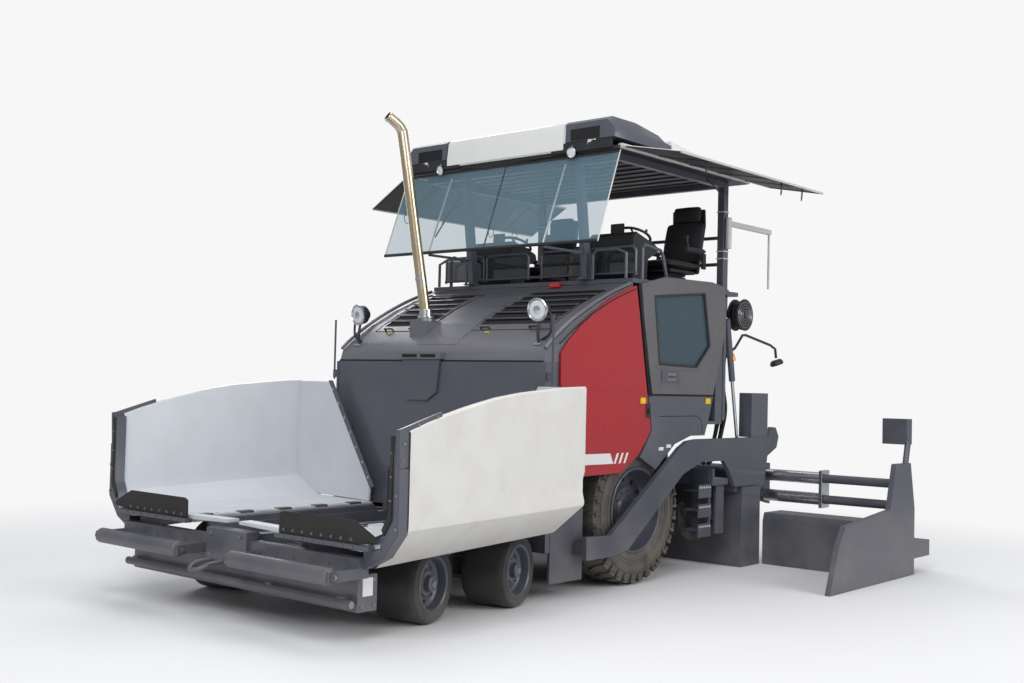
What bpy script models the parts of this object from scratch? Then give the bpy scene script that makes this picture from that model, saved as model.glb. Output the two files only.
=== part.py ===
"""Wheeled asphalt paver: tractor with folding hopper, steered twin front axles,
operator platform under a canopy, and a floating screed with sliding extensions.

Metres, +Z up, the machine's front towards -Y and its left side towards +X.
Pieces are described in the machine's own frame, whose y = 0 lies just behind the
hopper; everything hangs from one empty that puts the origin at the middle of the
outer box, on the ground.
"""

import math

import bpy
import bmesh
from mathutils import Euler, Matrix, Vector

# ---------------------------------------------------------------- driving sizes
BASE_WIDTH = 2.55          # over the tow arms and the basic screed
ARM_THICKNESS = 0.045      # tow arm plates
ARM_CLEARANCE = 0.008      # tow arm to the body side it swings past
SKIN = 0.025               # outer body panels
SEAT_GAP = 0.0004          # between faces that rest on each other
ROD_CLEARANCE = 0.0006     # radial, between telescoping tubes

HALF_WIDTH = BASE_WIDTH / 2
BODY_HALF = HALF_WIDTH - ARM_THICKNESS - ARM_CLEARANCE
INNER_HALF = BODY_HALF - SKIN - SEAT_GAP

# Main frame and conveyor tunnel
TUNNEL_HALF = 0.52
RAIL_THICKNESS = 0.055
RAIL_BOTTOM = 0.36
HOPPER_RAIL_TOP = 0.58
TUNNEL_TOP = 0.96
TUNNEL_FLOOR = 0.47
FRAME_FRONT = -2.50
FRAME_REAR = 1.78
PLATE = 0.03

# Tractor body
WALL_FRONT = -0.70
WALL_THICKNESS = 0.04
WALL_TOP = 1.88
WALL_BOTTOM = 0.64
SHELF_TOP = 1.40
BODY_REAR = 2.00
DECK_BOTTOM = 2.60
DECK_THICKNESS = 0.04
DECK_FRONT = 0.50
DECK_REAR = 2.28
HOOD_ARC = ((-0.66, 1.975), (-0.56, 2.06), (-0.33, 2.215), (-0.05, 2.365), (0.22, 2.485), (0.48, 2.575))
HOOD_SKIN = 0.03

# Front wheels: two steered axles
FRONT_TYRE_RADIUS = 0.28
FRONT_TYRE_WIDTH = 0.38
FRONT_AXLES = (-1.95, -1.024)
KINGPIN_X = 0.74
WHEEL_OFFSET = 0.27        # kingpin to the middle of the wheel
STEER_REST = 14.5          # degrees to the machine's left

# Rear drive wheels
REAR_TYRE_RADIUS = 0.65
REAR_TYRE_WIDTH = 0.44
REAR_AXLE_Y = 0.66
REAR_WHEEL_X = 0.955

# Hopper wings
WING_OUTER = 1.68
WING_HINGE_X = 0.60
WING_HINGE_Z = 0.62
WING_HINGE_RADIUS = 0.022
WING_FRONT = -2.60
WING_REAR = -0.77
WING_SHEET = 0.06

HOPPER_CYLINDER = {"foot": (0.66, 0.30), "eye": (1.20, 0.585), "y": -1.49}
TRUNNION_HALF = 0.045      # half the width of a cylinder's foot

# Push rollers
ROLLER_RADIUS = 0.058
ROLLER_Y = -2.938
ROLLER_Z = 0.465
ROLLER_INNER = 0.30
ROLLER_OUTER = 1.345

# Canopy
ROOF_BOTTOM = 3.70
ROOF_HALF = 1.27
ROOF_FRONT = 0.13
ROOF_REAR = 2.34
AWNING_WIDTH = 0.60
AWNING_FRONT = 0.20
AWNING_REAR = 2.70
AWNING_DROP = {1: 11.0, -1: 30.0}     # degrees below level, left and right

# Lift cylinders, in (y, z), between the rear wall and the tow arms
LIFT_CYLINDER = {"foot": (2.06, 2.35), "eye": (2.28, 1.20), "x": HALF_WIDTH - ARM_THICKNESS - 0.025}

# Screed
TOW_POINT_Y = -0.19
TOW_POINT_Z = 0.385
SCREED_FRONT = 2.27
SCREED_REAR = 2.62
SCREED_TOP = 0.77
EXTENSION_STROKE = 1.27
EXTENSION_FRONT = 2.65
EXTENSION_REAR = 3.10
EXTENSION_INNER = 1.29
END_GATE_X = 2.59
END_GATE_THICKNESS = 0.05
GATE_REAR = 3.15
WALKWAY_REAR = 3.52
GUIDE_RADII = (0.075, 0.058, 0.042)   # sleeve, middle tube, rod
AUGER_Y = 1.98
AUGER_Z = 0.42
AUGER_RADIUS = 0.18

FRONT_EXTREME = ROLLER_Y - ROLLER_RADIUS
REAR_EXTREME = WALKWAY_REAR
CENTRE_Y = (FRONT_EXTREME + REAR_EXTREME) / 2

# ---------------------------------------------------------------- scene and tools
for leftover in list(bpy.data.objects):
    bpy.data.objects.remove(leftover, do_unlink=True)

paver = bpy.data.collections.new("asphalt_paver")
bpy.context.scene.collection.children.link(paver)
workshop = bpy.data.collections.new("cutters")
bpy.context.scene.collection.children.link(workshop)
root = bpy.data.objects.new("paver_origin", None)
root.location = (0.0, -CENTRE_Y, 0.0)
paver.objects.link(root)

COLOURS = {
    "frame_paint": ((0.075, 0.08, 0.105), 0.45, 0.0),
    "body_paint": ((0.085, 0.09, 0.115), 0.4, 0.0),
    "red_paint": ((0.42, 0.012, 0.018), 0.3, 0.0),
    "hopper_paint": ((0.75, 0.74, 0.70), 0.45, 0.0),
    "roof_paint": ((0.8, 0.8, 0.8), 0.4, 0.0),
    "tyre": ((0.03, 0.028, 0.026), 0.85, 0.0),
    "steel": ((0.55, 0.56, 0.58), 0.3, 1.0),
    "exhaust_steel": ((0.6, 0.5, 0.38), 0.3, 1.0),
    "glass": ((0.4, 0.55, 0.62), 0.05, 0.0),
    "seat_cover": ((0.03, 0.03, 0.035), 0.8, 0.0),
    "cast_iron": ((0.12, 0.12, 0.13), 0.6, 0.3),
    "plastic": ((0.03, 0.03, 0.035), 0.5, 0.0),
}


def material(piece_name, kind):
    """The piece's own Principled material."""
    colour, roughness, metallic = COLOURS[kind]
    made = bpy.data.materials.new(piece_name)
    made.use_nodes = True
    shader = made.node_tree.nodes["Principled BSDF"]
    shader.inputs["Base Color"].default_value = (*colour, 1.0)
    shader.inputs["Roughness"].default_value = roughness
    shader.inputs["Metallic"].default_value = metallic
    return made


def draft(mesh):
    """A shape on the bench, before it is joined into a piece."""
    shape = bpy.data.objects.new("draft", mesh)
    shape.hide_render = True
    shape.display_type = "WIRE"
    workshop.objects.link(shape)
    return shape


def draft_from(bm):
    mesh = bpy.data.meshes.new("draft")
    bm.to_mesh(mesh)
    bm.free()
    return draft(mesh)


def box(x, y, z):
    """A box between three (low, high) pairs, in any order."""
    bm = bmesh.new()
    bmesh.ops.create_cube(bm, size=1.0)
    spans = [(min(pair), max(pair)) for pair in (x, y, z)]
    size = [high - low for low, high in spans]
    middle = [(low + high) / 2 for low, high in spans]
    bmesh.ops.scale(bm, vec=size, verts=bm.verts)
    bmesh.ops.translate(bm, vec=middle, verts=bm.verts)
    return draft_from(bm)


def rod(start, end, radius, sides=12):
    """A cylinder from start to end."""
    start, end = Vector(start), Vector(end)
    bm = bmesh.new()
    bmesh.ops.create_cone(bm, cap_ends=True, segments=sides, radius1=radius, radius2=radius,
                          depth=(end - start).length)
    turn = (end - start).to_track_quat("Z", "Y").to_matrix().to_4x4()
    bmesh.ops.transform(bm, matrix=Matrix.Translation((start + end) / 2) @ turn, verts=bm.verts)
    return draft_from(bm)


def solid_from_curve(curve, placing):
    """A curve object made into a closed mesh."""
    holder = bpy.data.objects.new("draft_curve", curve)
    workshop.objects.link(holder)
    holder.matrix_world = placing
    bpy.context.view_layer.update()
    evaluated = holder.evaluated_get(bpy.context.evaluated_depsgraph_get())
    mesh = bpy.data.meshes.new_from_object(evaluated)
    bpy.data.objects.remove(holder, do_unlink=True)
    mesh.transform(placing)
    bm = bmesh.new()
    bm.from_mesh(mesh)
    bmesh.ops.remove_doubles(bm, verts=bm.verts, dist=0.00005)
    bmesh.ops.recalc_face_normals(bm, faces=bm.faces)
    return draft_from(bm)


PLANES = {
    "x": Matrix(((0, 0, 1), (1, 0, 0), (0, 1, 0))),     # outline in (y, z)
    "y": Matrix(((1, 0, 0), (0, 0, -1), (0, 1, 0))),    # outline in (x, z)
    "z": Matrix.Identity(3),                            # outline in (x, y)
}


def plate(axis, outline, low, high, holes=()):
    """A flat outline, with holes, as thick as from low to high along the axis."""
    curve = bpy.data.curves.new("draft_outline", "CURVE")
    curve.dimensions = "2D"
    curve.fill_mode = "BOTH"
    curve.extrude = abs(high - low) / 2
    for loop in (outline, *holes):
        spline = curve.splines.new("POLY")
        spline.points.add(len(loop) - 1)
        for point, (u, v) in zip(spline.points, loop):
            point.co = (u, v, 0.0, 1.0)
        spline.use_cyclic_u = True
    shift = {"x": 0, "y": 1, "z": 2}[axis]
    middle = Vector((0.0, 0.0, 0.0))
    middle[shift] = (low + high) / 2
    return solid_from_curve(curve, Matrix.Translation(middle) @ PLANES[axis].to_4x4())


def tube(points, radius, sides=8):
    """A round bar bent through the points."""
    curve = bpy.data.curves.new("draft_tube", "CURVE")
    curve.dimensions = "3D"
    curve.bevel_depth = radius
    curve.bevel_resolution = max(0, sides // 2 - 2)
    curve.use_fill_caps = True
    spline = curve.splines.new("POLY")
    spline.points.add(len(points) - 1)
    for point, place in zip(spline.points, points):
        point.co = (*place, 1.0)
    return solid_from_curve(curve, Matrix.Identity(4))


def loft(sections):
    """A solid through closed rings of as many points each, capped at both ends."""
    bm = bmesh.new()
    rings = [[bm.verts.new(point) for point in ring] for ring in sections]
    count = len(rings[0])
    for near, far in zip(rings, rings[1:]):
        for i in range(count):
            j = (i + 1) % count
            bm.faces.new((near[i], near[j], far[j], far[i]))
    bm.faces.new(rings[0])
    bm.faces.new(reversed(rings[-1]))
    bmesh.ops.triangulate(bm, faces=bm.faces)
    bmesh.ops.recalc_face_normals(bm, faces=bm.faces)
    return draft_from(bm)


def turned(profile, sides, centre, heading=0.0):
    """A profile of (distance along the axle, radius) turned about an axle along X,
    the axle then swung by heading (radians) about Z."""
    bm = bmesh.new()
    rings = []
    for along, radius in profile:
        ring = []
        for i in range(sides):
            angle = 2 * math.pi * i / sides
            ring.append(bm.verts.new((along, radius * math.cos(angle), radius * math.sin(angle))))
        rings.append(ring)
    for near, far in zip(rings, rings[1:] + rings[:1]):
        for i in range(sides):
            j = (i + 1) % sides
            bm.faces.new((near[i], near[j], far[j], far[i]))
    bmesh.ops.recalc_face_normals(bm, faces=bm.faces)
    placing = Matrix.Translation(centre) @ Euler((0, 0, heading)).to_matrix().to_4x4()
    bmesh.ops.transform(bm, matrix=placing, verts=bm.verts)
    return draft_from(bm)


def piece(name, kind, shapes, cuts=(), pivot=(0.0, 0.0, 0.0), solver="EXACT"):
    """Joins the shapes, takes the cuts away and names the result. Its origin goes
    to the pivot, on its joint's axis."""
    base, others = shapes[0], list(shapes[1:])
    steps = [("UNION", other) for other in others] + [("DIFFERENCE", cut) for cut in cuts]
    for operation, other in steps:
        boolean = base.modifiers.new(operation.lower(), "BOOLEAN")
        boolean.operation = operation
        boolean.solver = solver
        boolean.object = other
    bpy.context.view_layer.update()
    evaluated = base.evaluated_get(bpy.context.evaluated_depsgraph_get())
    mesh = bpy.data.meshes.new_from_object(evaluated)
    for used in (base, *others, *cuts):
        bpy.data.objects.remove(used, do_unlink=True)
    mesh.transform(Matrix.Translation(-Vector(pivot)))
    mesh.name = name
    mesh.materials.clear()
    mesh.materials.append(material(name, kind))
    mesh.shade_smooth()
    mesh.set_sharp_from_angle(angle=math.radians(35))
    made = bpy.data.objects.new(name, mesh)
    made.location = pivot
    made.parent = root
    paver.objects.link(made)
    return made


def sided(side, points):
    """Points of the left side, mirrored for side -1."""
    return [(side * x, *rest) for x, *rest in points]


SIDES = (("left", 1), ("right", -1))


# ---------------------------------------------------------------- chassis
def main_frame():
    """Rails, tunnel plates, front axle beams with kingpin forks, rear axle housing."""
    shapes = []
    rail_outline = (
        (FRAME_FRONT, RAIL_BOTTOM), (FRAME_REAR, RAIL_BOTTOM), (FRAME_REAR, TUNNEL_TOP),
        (WALL_FRONT, TUNNEL_TOP), (WALL_FRONT, HOPPER_RAIL_TOP), (FRAME_FRONT, HOPPER_RAIL_TOP),
    )
    rail_outer = TUNNEL_HALF + RAIL_THICKNESS
    for side in (1, -1):
        shapes.append(plate("x", rail_outline, side * TUNNEL_HALF, side * rail_outer))
        strip_outer = WING_HINGE_X - WING_HINGE_RADIUS + 0.012
        shapes.append(box((side * (rail_outer - 0.01), side * strip_outer), (FRAME_FRONT, WING_REAR - 0.03),
                          (HOPPER_RAIL_TOP - 0.05, WING_HINGE_Z + 0.012)))
        shapes.append(rod((side * WING_HINGE_X, FRAME_FRONT, WING_HINGE_Z),
                          (side * WING_HINGE_X, WING_REAR - 0.03, WING_HINGE_Z), WING_HINGE_RADIUS))
    inside = TUNNEL_HALF + RAIL_THICKNESS / 2
    shapes.append(box((-inside, inside), (FRAME_FRONT + 0.005, FRAME_REAR - 0.005),
                      (TUNNEL_FLOOR - PLATE, TUNNEL_FLOOR)))
    shapes.append(box((-inside, inside), (WALL_FRONT + 0.005, FRAME_REAR - 0.005),
                      (TUNNEL_TOP - PLATE, TUNNEL_TOP - 0.002)))
    shapes.append(box((-0.05, 0.05), (FRAME_FRONT + 0.01, FRAME_REAR - 0.01),
                      (TUNNEL_FLOOR - PLATE / 2, TUNNEL_FLOOR + 0.09)))
    fork_low, fork_high = FRONT_TYRE_RADIUS - 0.095, FRONT_TYRE_RADIUS + 0.095
    beam_end = KINGPIN_X - 0.085
    for axle in FRONT_AXLES:
        shapes.append(box((-beam_end, beam_end), (axle - 0.07, axle + 0.07), (fork_low, fork_high)))
        for side in (1, -1):
            # Saddle between the axle beam and the rail above it.
            shapes.append(box((side * (TUNNEL_HALF + 0.005), side * (rail_outer - 0.005)), (axle - 0.06, axle + 0.06),
                              (fork_low + 0.01, RAIL_BOTTOM + 0.03)))
            tip = side * (KINGPIN_X + 0.035)
            for low in (fork_low, fork_high - PLATE):
                shapes.append(box((side * (beam_end - 0.02), tip), (axle - 0.055, axle + 0.055),
                                  (low, low + PLATE)))
    trunnion = HOPPER_CYLINDER["y"], HOPPER_CYLINDER["foot"]
    for side in (1, -1):
        for turn in (1, -1):
            ear = trunnion[0] + turn * (TRUNNION_HALF + SEAT_GAP)
            shapes.append(box((side * (rail_outer - 0.01), side * (trunnion[1][0] + 0.02)),
                              (ear, ear + turn * 0.02), (trunnion[1][1] - 0.03, trunnion[1][1] + 0.08)))
    hub_inner = REAR_WHEEL_X - REAR_TYRE_WIDTH / 2 + 0.06
    for side in (1, -1):
        shapes.append(rod((side * (rail_outer - 0.03), REAR_AXLE_Y, REAR_TYRE_RADIUS - 0.01),
                          (side * hub_inner, REAR_AXLE_Y, REAR_TYRE_RADIUS - 0.01), 0.17, 16))
    piece("main_frame", "frame_paint", shapes)


def tow_guide(label, side):
    """Bracket beside the rail with the upright plate that guides the tow point."""
    rail_outer = TUNNEL_HALF + RAIL_THICKNESS + SEAT_GAP
    plate_outer = HALF_WIDTH - 0.135
    plate_inner = plate_outer - SKIN
    rear = TOW_POINT_Y - 0.305
    piece("tow_guide_" + label, "frame_paint",
          [box((side * rail_outer, side * (plate_inner + 0.02)), (rear - 0.055, rear + 0.005), (0.37, 0.575)),
           box((side * plate_inner, side * plate_outer), (rear, TOW_POINT_Y + 0.12), (0.12, 0.78))])


def front_beam():
    """Bumper box, centre plate and tow ring ahead of the frame, with the roller arms."""
    beam_front = FRAME_FRONT - 0.17
    shapes = [
        box((-1.30, 1.30), (beam_front, FRAME_FRONT - SEAT_GAP), (0.20, 0.44)),
        box((-0.235, 0.235), (beam_front - 0.09, beam_front + 0.02), (0.40, 0.62)),
        rod((-1.297, beam_front - 0.055, 0.258), (1.297, beam_front - 0.055, 0.258), 0.03),
        box((-ROLLER_OUTER - 0.02, ROLLER_OUTER + 0.02), (beam_front - 0.06, beam_front + 0.03), (0.43, 0.56)),
    ]
    for x in (-1.2, -0.45, 0.45, 1.2):
        shapes.append(box((x - 0.03, x + 0.03), (beam_front - 0.06, beam_front + 0.02), (0.235, 0.30)))
    arm_rear = beam_front - 0.03
    for side in (1, -1):
        for x in (ROLLER_INNER - 0.0205 - SEAT_GAP, ROLLER_OUTER + 0.0005 + SEAT_GAP):
            low = side * x
            shapes.append(box((low, low + side * 0.02), (ROLLER_Y - 0.035, arm_rear),
                              (ROLLER_Z - 0.035, ROLLER_Z + 0.035)))
    piece("front_beam", "frame_paint", shapes)


def body_shell():
    """Front wall, engine shelf, inner walls, rear wall, corner columns and lower sides."""
    rail_outer = TUNNEL_HALF + RAIL_THICKNESS + SEAT_GAP
    sill = TUNNEL_TOP + SEAT_GAP
    wall_rear = WALL_FRONT + WALL_THICKNESS
    front_outline = (
        (-BODY_HALF, WALL_BOTTOM), (-rail_outer, WALL_BOTTOM), (-rail_outer, sill), (rail_outer, sill),
        (rail_outer, WALL_BOTTOM), (BODY_HALF, WALL_BOTTOM), (BODY_HALF, WALL_TOP), (-BODY_HALF, WALL_TOP),
    )
    shapes = [
        plate("y", front_outline, WALL_FRONT, wall_rear),
        box((-INNER_HALF, INNER_HALF), (wall_rear - 0.01, BODY_REAR - 0.01), (SHELF_TOP - PLATE, SHELF_TOP)),
        box((-INNER_HALF, INNER_HALF), (BODY_REAR - WALL_THICKNESS, BODY_REAR), (SHELF_TOP - PLATE, DECK_BOTTOM)),
    ]
    foot_y, foot_z = LIFT_CYLINDER["foot"]
    for side in (1, -1):
        lug_end = side * (LIFT_CYLINDER["x"] - 0.032 - SEAT_GAP)
        shapes.append(box((side * 1.10, lug_end), (BODY_REAR - 0.01, foot_y + 0.03), (foot_z - 0.035, foot_z + 0.035)))
        inner_wall = side * rail_outer, side * (rail_outer + PLATE)
        shapes.append(box(inner_wall, (wall_rear - 0.01, BODY_REAR - 0.005), (sill, SHELF_TOP - 0.01)))
        shapes.append(box((side * (INNER_HALF - 0.10), side * INNER_HALF), (wall_rear - 0.01, WALL_FRONT + 0.20),
                          (WALL_BOTTOM + 0.01, WALL_TOP)))
        shapes.append(box((side * (INNER_HALF - 0.10), side * INNER_HALF), (BODY_REAR - 0.12, BODY_REAR - 0.01),
                          (SHELF_TOP - 0.01, DECK_BOTTOM)))
        lower = ((0.62, 1.10), (0.86, 0.985), (1.16, 1.20), (1.42, 1.27), (1.66, 1.27), (1.74, 1.45),
                 (1.80, 1.63), (0.735, 1.63), (0.795, 1.33))
        shapes.append(plate("x", lower, side * (INNER_HALF - 0.01), side * BODY_HALF))
    piece("body_shell", "body_paint", shapes)


def hood_line(offset=0.0):
    """The curved top of the engine hood in (y, z), moved inwards by offset."""
    return [(y + offset * 0.55, z - offset) for y, z in HOOD_ARC]


def hood():
    """Curved sheet over the engine, with the exhaust's pedestal and the front cover."""
    outer = hood_line()
    inner = hood_line(HOOD_SKIN)
    foot = WALL_TOP + SEAT_GAP
    outline = [(WALL_FRONT + 0.01, foot), *outer, (DECK_FRONT - 0.002, DECK_BOTTOM - 0.002),
               (DECK_FRONT - 0.002, DECK_BOTTOM - 0.05), *reversed(inner), (WALL_FRONT + 0.05, foot)]
    shapes = [
        plate("x", outline, -INNER_HALF, INNER_HALF),
        box((-0.50, -0.30), (-0.50, -0.30), (2.05, 2.24)),
        box((-0.375, 0.112), (WALL_FRONT - 0.04, WALL_FRONT + 0.03), (1.90, 1.955)),
    ]
    for side in (1, -1):
        end = (INNER_HALF - 0.02) * side
        shapes.append(plate("x", [(WALL_FRONT + 0.05, foot), *inner, (DECK_FRONT - 0.002, DECK_BOTTOM - 0.05),
                                  (DECK_FRONT - 0.002, foot)], end, side * INNER_HALF))
    piece("hood", "body_paint", shapes)


def engine_block():
    """The engine and its pumps as one plain mass on the shelf."""
    piece("engine_block", "cast_iron", [box((-0.75, 0.75), (-0.35, 1.35), (SHELF_TOP + SEAT_GAP, 1.84))])


RED_PANEL = ((-0.50, 0.97), (-0.114, 0.968), (0.33, 0.975), (0.60, 1.12), (0.779, 1.325), (0.72, 1.62),
             (0.66, 1.90), (0.574, 2.336), (0.52, 2.575), (0.30, 2.50), (0.10, 2.41), (-0.10, 2.29),
             (-0.25, 2.19), (-0.40, 2.065), (-0.50, 1.96))


def side_panel(label, side):
    """Coloured engine cover that follows the hood's curve."""
    piece("side_panel_" + label, "red_paint", [plate("x", RED_PANEL, side * (BODY_HALF - SKIN), side * BODY_HALF)])


DOOR = ((0.795, 1.645), (1.80, 1.645), (1.99, 2.20), (1.99, 2.67), (1.76, 2.70), (0.972, 2.684), (0.605, 2.60),
        (0.64, 2.336), (0.735, 1.90))
DOOR_WINDOW = ((0.89, 1.91), (1.50, 1.90), (1.72, 2.10), (1.62, 2.58), (0.80, 2.50))


def service_door(label, side):
    """Rear side cover with its window opening, hinged upright at its rear edge."""
    pivot = (side * BODY_HALF, BODY_REAR - 0.01, 0.0)
    piece("service_door_" + label, "body_paint",
          [plate("x", DOOR, side * (BODY_HALF - SKIN), side * BODY_HALF, [DOOR_WINDOW])], pivot=pivot)


def door_glass(label, side):
    """Pane in the service door's window."""
    middle = [sum(point[i] for point in DOOR_WINDOW) / len(DOOR_WINDOW) for i in (0, 1)]
    pane = [tuple(m + (value - m) * 0.9985 for value, m in zip(point, middle)) for point in DOOR_WINDOW]
    outer = BODY_HALF - SKIN / 2
    piece("door_glass_" + label, "glass", [plate("x", pane, side * (outer - 0.006), side * outer)],
          pivot=(side * BODY_HALF, BODY_REAR - 0.01, 0.0))


def deck():
    """Operator platform with front toe board and rear guard rail."""
    top = DECK_BOTTOM + DECK_THICKNESS
    rail = 0.018
    shapes = [box((-INNER_HALF + 0.004, INNER_HALF - 0.004), (DECK_FRONT, DECK_REAR),
                  (DECK_BOTTOM + SEAT_GAP, top))]
    post_x, rail_y = 1.08, DECK_REAR - 0.05
    for x in (-post_x, post_x):
        shapes.append(tube([(x, rail_y, top - 0.01), (x, rail_y, top + 0.55)], rail))
    for height in (0.28, 0.54):
        shapes.append(tube([(-post_x, rail_y, top + height), (post_x, rail_y, top + height)], rail))
    piece("platform_deck", "body_paint", shapes)


def console():
    """Instrument console behind the front rail, with the front guard rail."""
    floor = DECK_BOTTOM + DECK_THICKNESS + SEAT_GAP
    shapes = [
        plate("x", ((0.82, floor), (1.06, floor), (1.04, 2.98), (0.80, 3.06)), -0.55, 0.55),
        box((-0.95, 0.95), (0.86, 0.92), (2.90, 2.98)),
    ]
    piece("console", "plastic", shapes)


def seat(label, side):
    """Operator seat: pedestal, cushion, back and headrest."""
    floor = DECK_BOTTOM + DECK_THICKNESS + SEAT_GAP
    x = side * 0.78
    shapes = [
        box((x - 0.16, x + 0.16), (1.45, 1.80), (floor, 2.80)),
        box((x - 0.24, x + 0.24), (1.36, 1.90), (2.77, 2.90)),
        plate("x", ((1.78, 2.86), (1.90, 2.84), (2.02, 3.30), (2.01, 3.46), (1.94, 3.46), (1.90, 3.30)),
              x - 0.22, x + 0.22),
    ]
    piece("seat_" + label, "seat_cover", shapes)


# ---------------------------------------------------------------- canopy
FRONT_POST_X = 0.68
REAR_POST_X = 1.12


DECK_TOP = DECK_BOTTOM + DECK_THICKNESS + SEAT_GAP
POST_FOOT_Y = 0.48
POST_HEAD_Y = 0.34
POST_DEPTH = 0.08


def post_face(z):
    """Where the leaning front posts' front face stands at height z."""
    share = (z - DECK_TOP) / (ROOF_BOTTOM - 0.02 - DECK_TOP)
    return POST_FOOT_Y + (POST_HEAD_Y - POST_FOOT_Y) * share


def canopy_frame():
    """Four posts and the ring of beams that they carry."""
    floor = DECK_TOP
    beam = 0.03
    ring_z = (ROOF_BOTTOM - 0.06, ROOF_BOTTOM)
    shapes = []
    for side in (1, -1):
        shapes.append(box((side * (REAR_POST_X - 0.035), side * (REAR_POST_X + 0.035)), (2.05, 2.13),
                          (floor, ROOF_BOTTOM - 0.01)))
        head = ROOF_BOTTOM - 0.02
        shapes.append(plate("x", ((POST_FOOT_Y, floor), (POST_FOOT_Y + POST_DEPTH, floor),
                                  (POST_HEAD_Y + POST_DEPTH, head), (POST_HEAD_Y, head)),
                            side * (FRONT_POST_X - 0.03), side * (FRONT_POST_X + 0.03)))
        shapes.append(box((side * (REAR_POST_X - beam), side * (REAR_POST_X + beam)), (0.33, 2.125), ring_z))
    for y in (0.38, 2.09):
        shapes.append(box((-REAR_POST_X, REAR_POST_X), (y - beam, y + beam), (ring_z[0] + 0.002, ring_z[1] - 0.002)))
    piece("canopy_frame", "frame_paint", shapes)


def canopy_roof():
    """Roof shell: flat underneath, crowned towards the front fascia."""
    low = ROOF_BOTTOM + SEAT_GAP
    crown = ROOF_BOTTOM + 0.285
    outline = ((ROOF_FRONT, low), (ROOF_REAR, low), (ROOF_REAR, low + 0.05), (1.30, crown - 0.105),
               (0.45, crown), (0.20, crown), (ROOF_FRONT, crown - 0.185))
    piece("canopy_roof", "roof_paint", [plate("x", outline, -ROOF_HALF, ROOF_HALF)])


def awning(label, side):
    """Side roof flap hinged along the roof's edge."""
    drop = math.radians(AWNING_DROP[side])
    thickness = 0.02
    hinge_x, hinge_z = ROOF_HALF + 0.012, ROOF_BOTTOM + 0.02
    out = Vector((math.cos(drop), -math.sin(drop)))
    up = Vector((math.sin(drop), math.cos(drop)))
    near = Vector((hinge_x, hinge_z)) - up * thickness / 2
    corners = [near, near + out * AWNING_WIDTH, near + out * AWNING_WIDTH + up * thickness, near + up * thickness]
    shapes = [
        plate("y", sided(side, [tuple(corner) for corner in corners]), AWNING_FRONT, AWNING_REAR),
        rod((side * hinge_x, ROOF_FRONT + 0.1, hinge_z), (side * hinge_x, ROOF_REAR - 0.02, hinge_z), 0.0115),
    ]
    piece("awning_" + label, "body_paint", shapes, pivot=(side * hinge_x, 0.0, hinge_z))


def windshield():
    """Tilted front screen with its bottom bar, hung under the roof's front edge."""
    half = 1.265
    bottom, top = Vector((-0.11, 2.89)), Vector((0.185, ROOF_BOTTOM - 0.012))
    along = (top - bottom).normalized()
    across = Vector((along.y, -along.x)) * 0.006
    glass = [tuple(bottom - across), tuple(bottom + across), tuple(top + across), tuple(top - across)]
    shapes = [
        plate("x", glass, -half, half),
        box((-half, half), (bottom.x - 0.015, bottom.x + 0.015), (bottom.y - 0.03, bottom.y + 0.005)),
        box((-half, half), (top.x - 0.02, top.x + 0.02), (ROOF_BOTTOM - 0.035, ROOF_BOTTOM)),
    ]
    strut_z = bottom.y - 0.012
    for x in (-FRONT_POST_X, FRONT_POST_X):
        shapes.append(box((x - 0.012, x + 0.012), (bottom.x, post_face(strut_z + 0.012) - SEAT_GAP),
                          (strut_z - 0.012, strut_z + 0.012)))
    piece("windshield", "glass", shapes)


def exhaust():
    """Leaning tail pipe on its flange, with a turned back mouth."""
    bend = [(-0.405, -0.41, 2.34), (-0.545, -0.60, 3.88), (-0.57, -0.66, 3.98), (-0.60, -0.75, 4.05)]
    flange = rod((-0.40, -0.40, 2.24 + SEAT_GAP), (-0.40, -0.40, 2.27), 0.075, 16)
    pipe = tube([(-0.40, -0.40, 2.25), *bend], 0.048, 12)
    mouth = tube([(-0.565, -0.65, 3.965), (-0.57, -0.66, 3.98), (-0.607, -0.77, 4.063)], 0.040, 12)
    piece("exhaust", "exhaust_steel", [flange, pipe], [mouth])


# ---------------------------------------------------------------- hopper
def hopper_wing(label, side):
    """One folding half of the hopper: floor, folded outer sheet, end plate, front lip."""
    edge = WING_HINGE_X + WING_HINGE_RADIUS + 0.0006
    inner_wall = WING_OUTER - WING_SHEET

    def section(y, top, knee, skirt):
        floor = WING_HINGE_Z - 0.02
        return [(side * x, y, z) for x, z in (
            (WING_OUTER, top), (WING_OUTER, knee), (1.38, skirt), (1.335, skirt), (1.335, floor), (edge, floor),
            (edge, floor + 0.04), (1.33, floor + 0.055), (inner_wall, knee + 0.06), (inner_wall, top))]

    sections = [section(WING_FRONT, 1.385, 0.755, 0.487), section(-2.29, 1.48, 0.765, 0.503),
                section(-1.77, 1.60, 0.785, 0.531), section(-1.20, 1.665, 0.80, 0.557),
                section(WING_REAR, 1.69, 0.81, 0.575)]
    end_plate = ((0.68, 0.63), (1.335, 0.63), (1.65, 0.82), (1.65, 1.685), (1.225, 1.685), (0.645, 0.78))
    front_lip = ((0.54, 0.60), (1.335, 0.60), (1.55, 0.66), (1.655, 0.80), (1.655, 1.37), (1.60, 1.37),
                 (1.55, 0.80), (1.33, 0.69), (0.54, 0.69))
    shapes = [
        loft(sections),
        plate("y", sided(side, end_plate), WING_REAR - 0.025, WING_REAR + 0.004),
        plate("y", sided(side, front_lip), WING_FRONT - 0.10, WING_FRONT + 0.01),
    ]
    piece("hopper_wing_" + label, "hopper_paint", shapes,
          pivot=(side * WING_HINGE_X, 0.0, WING_HINGE_Z))


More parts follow.
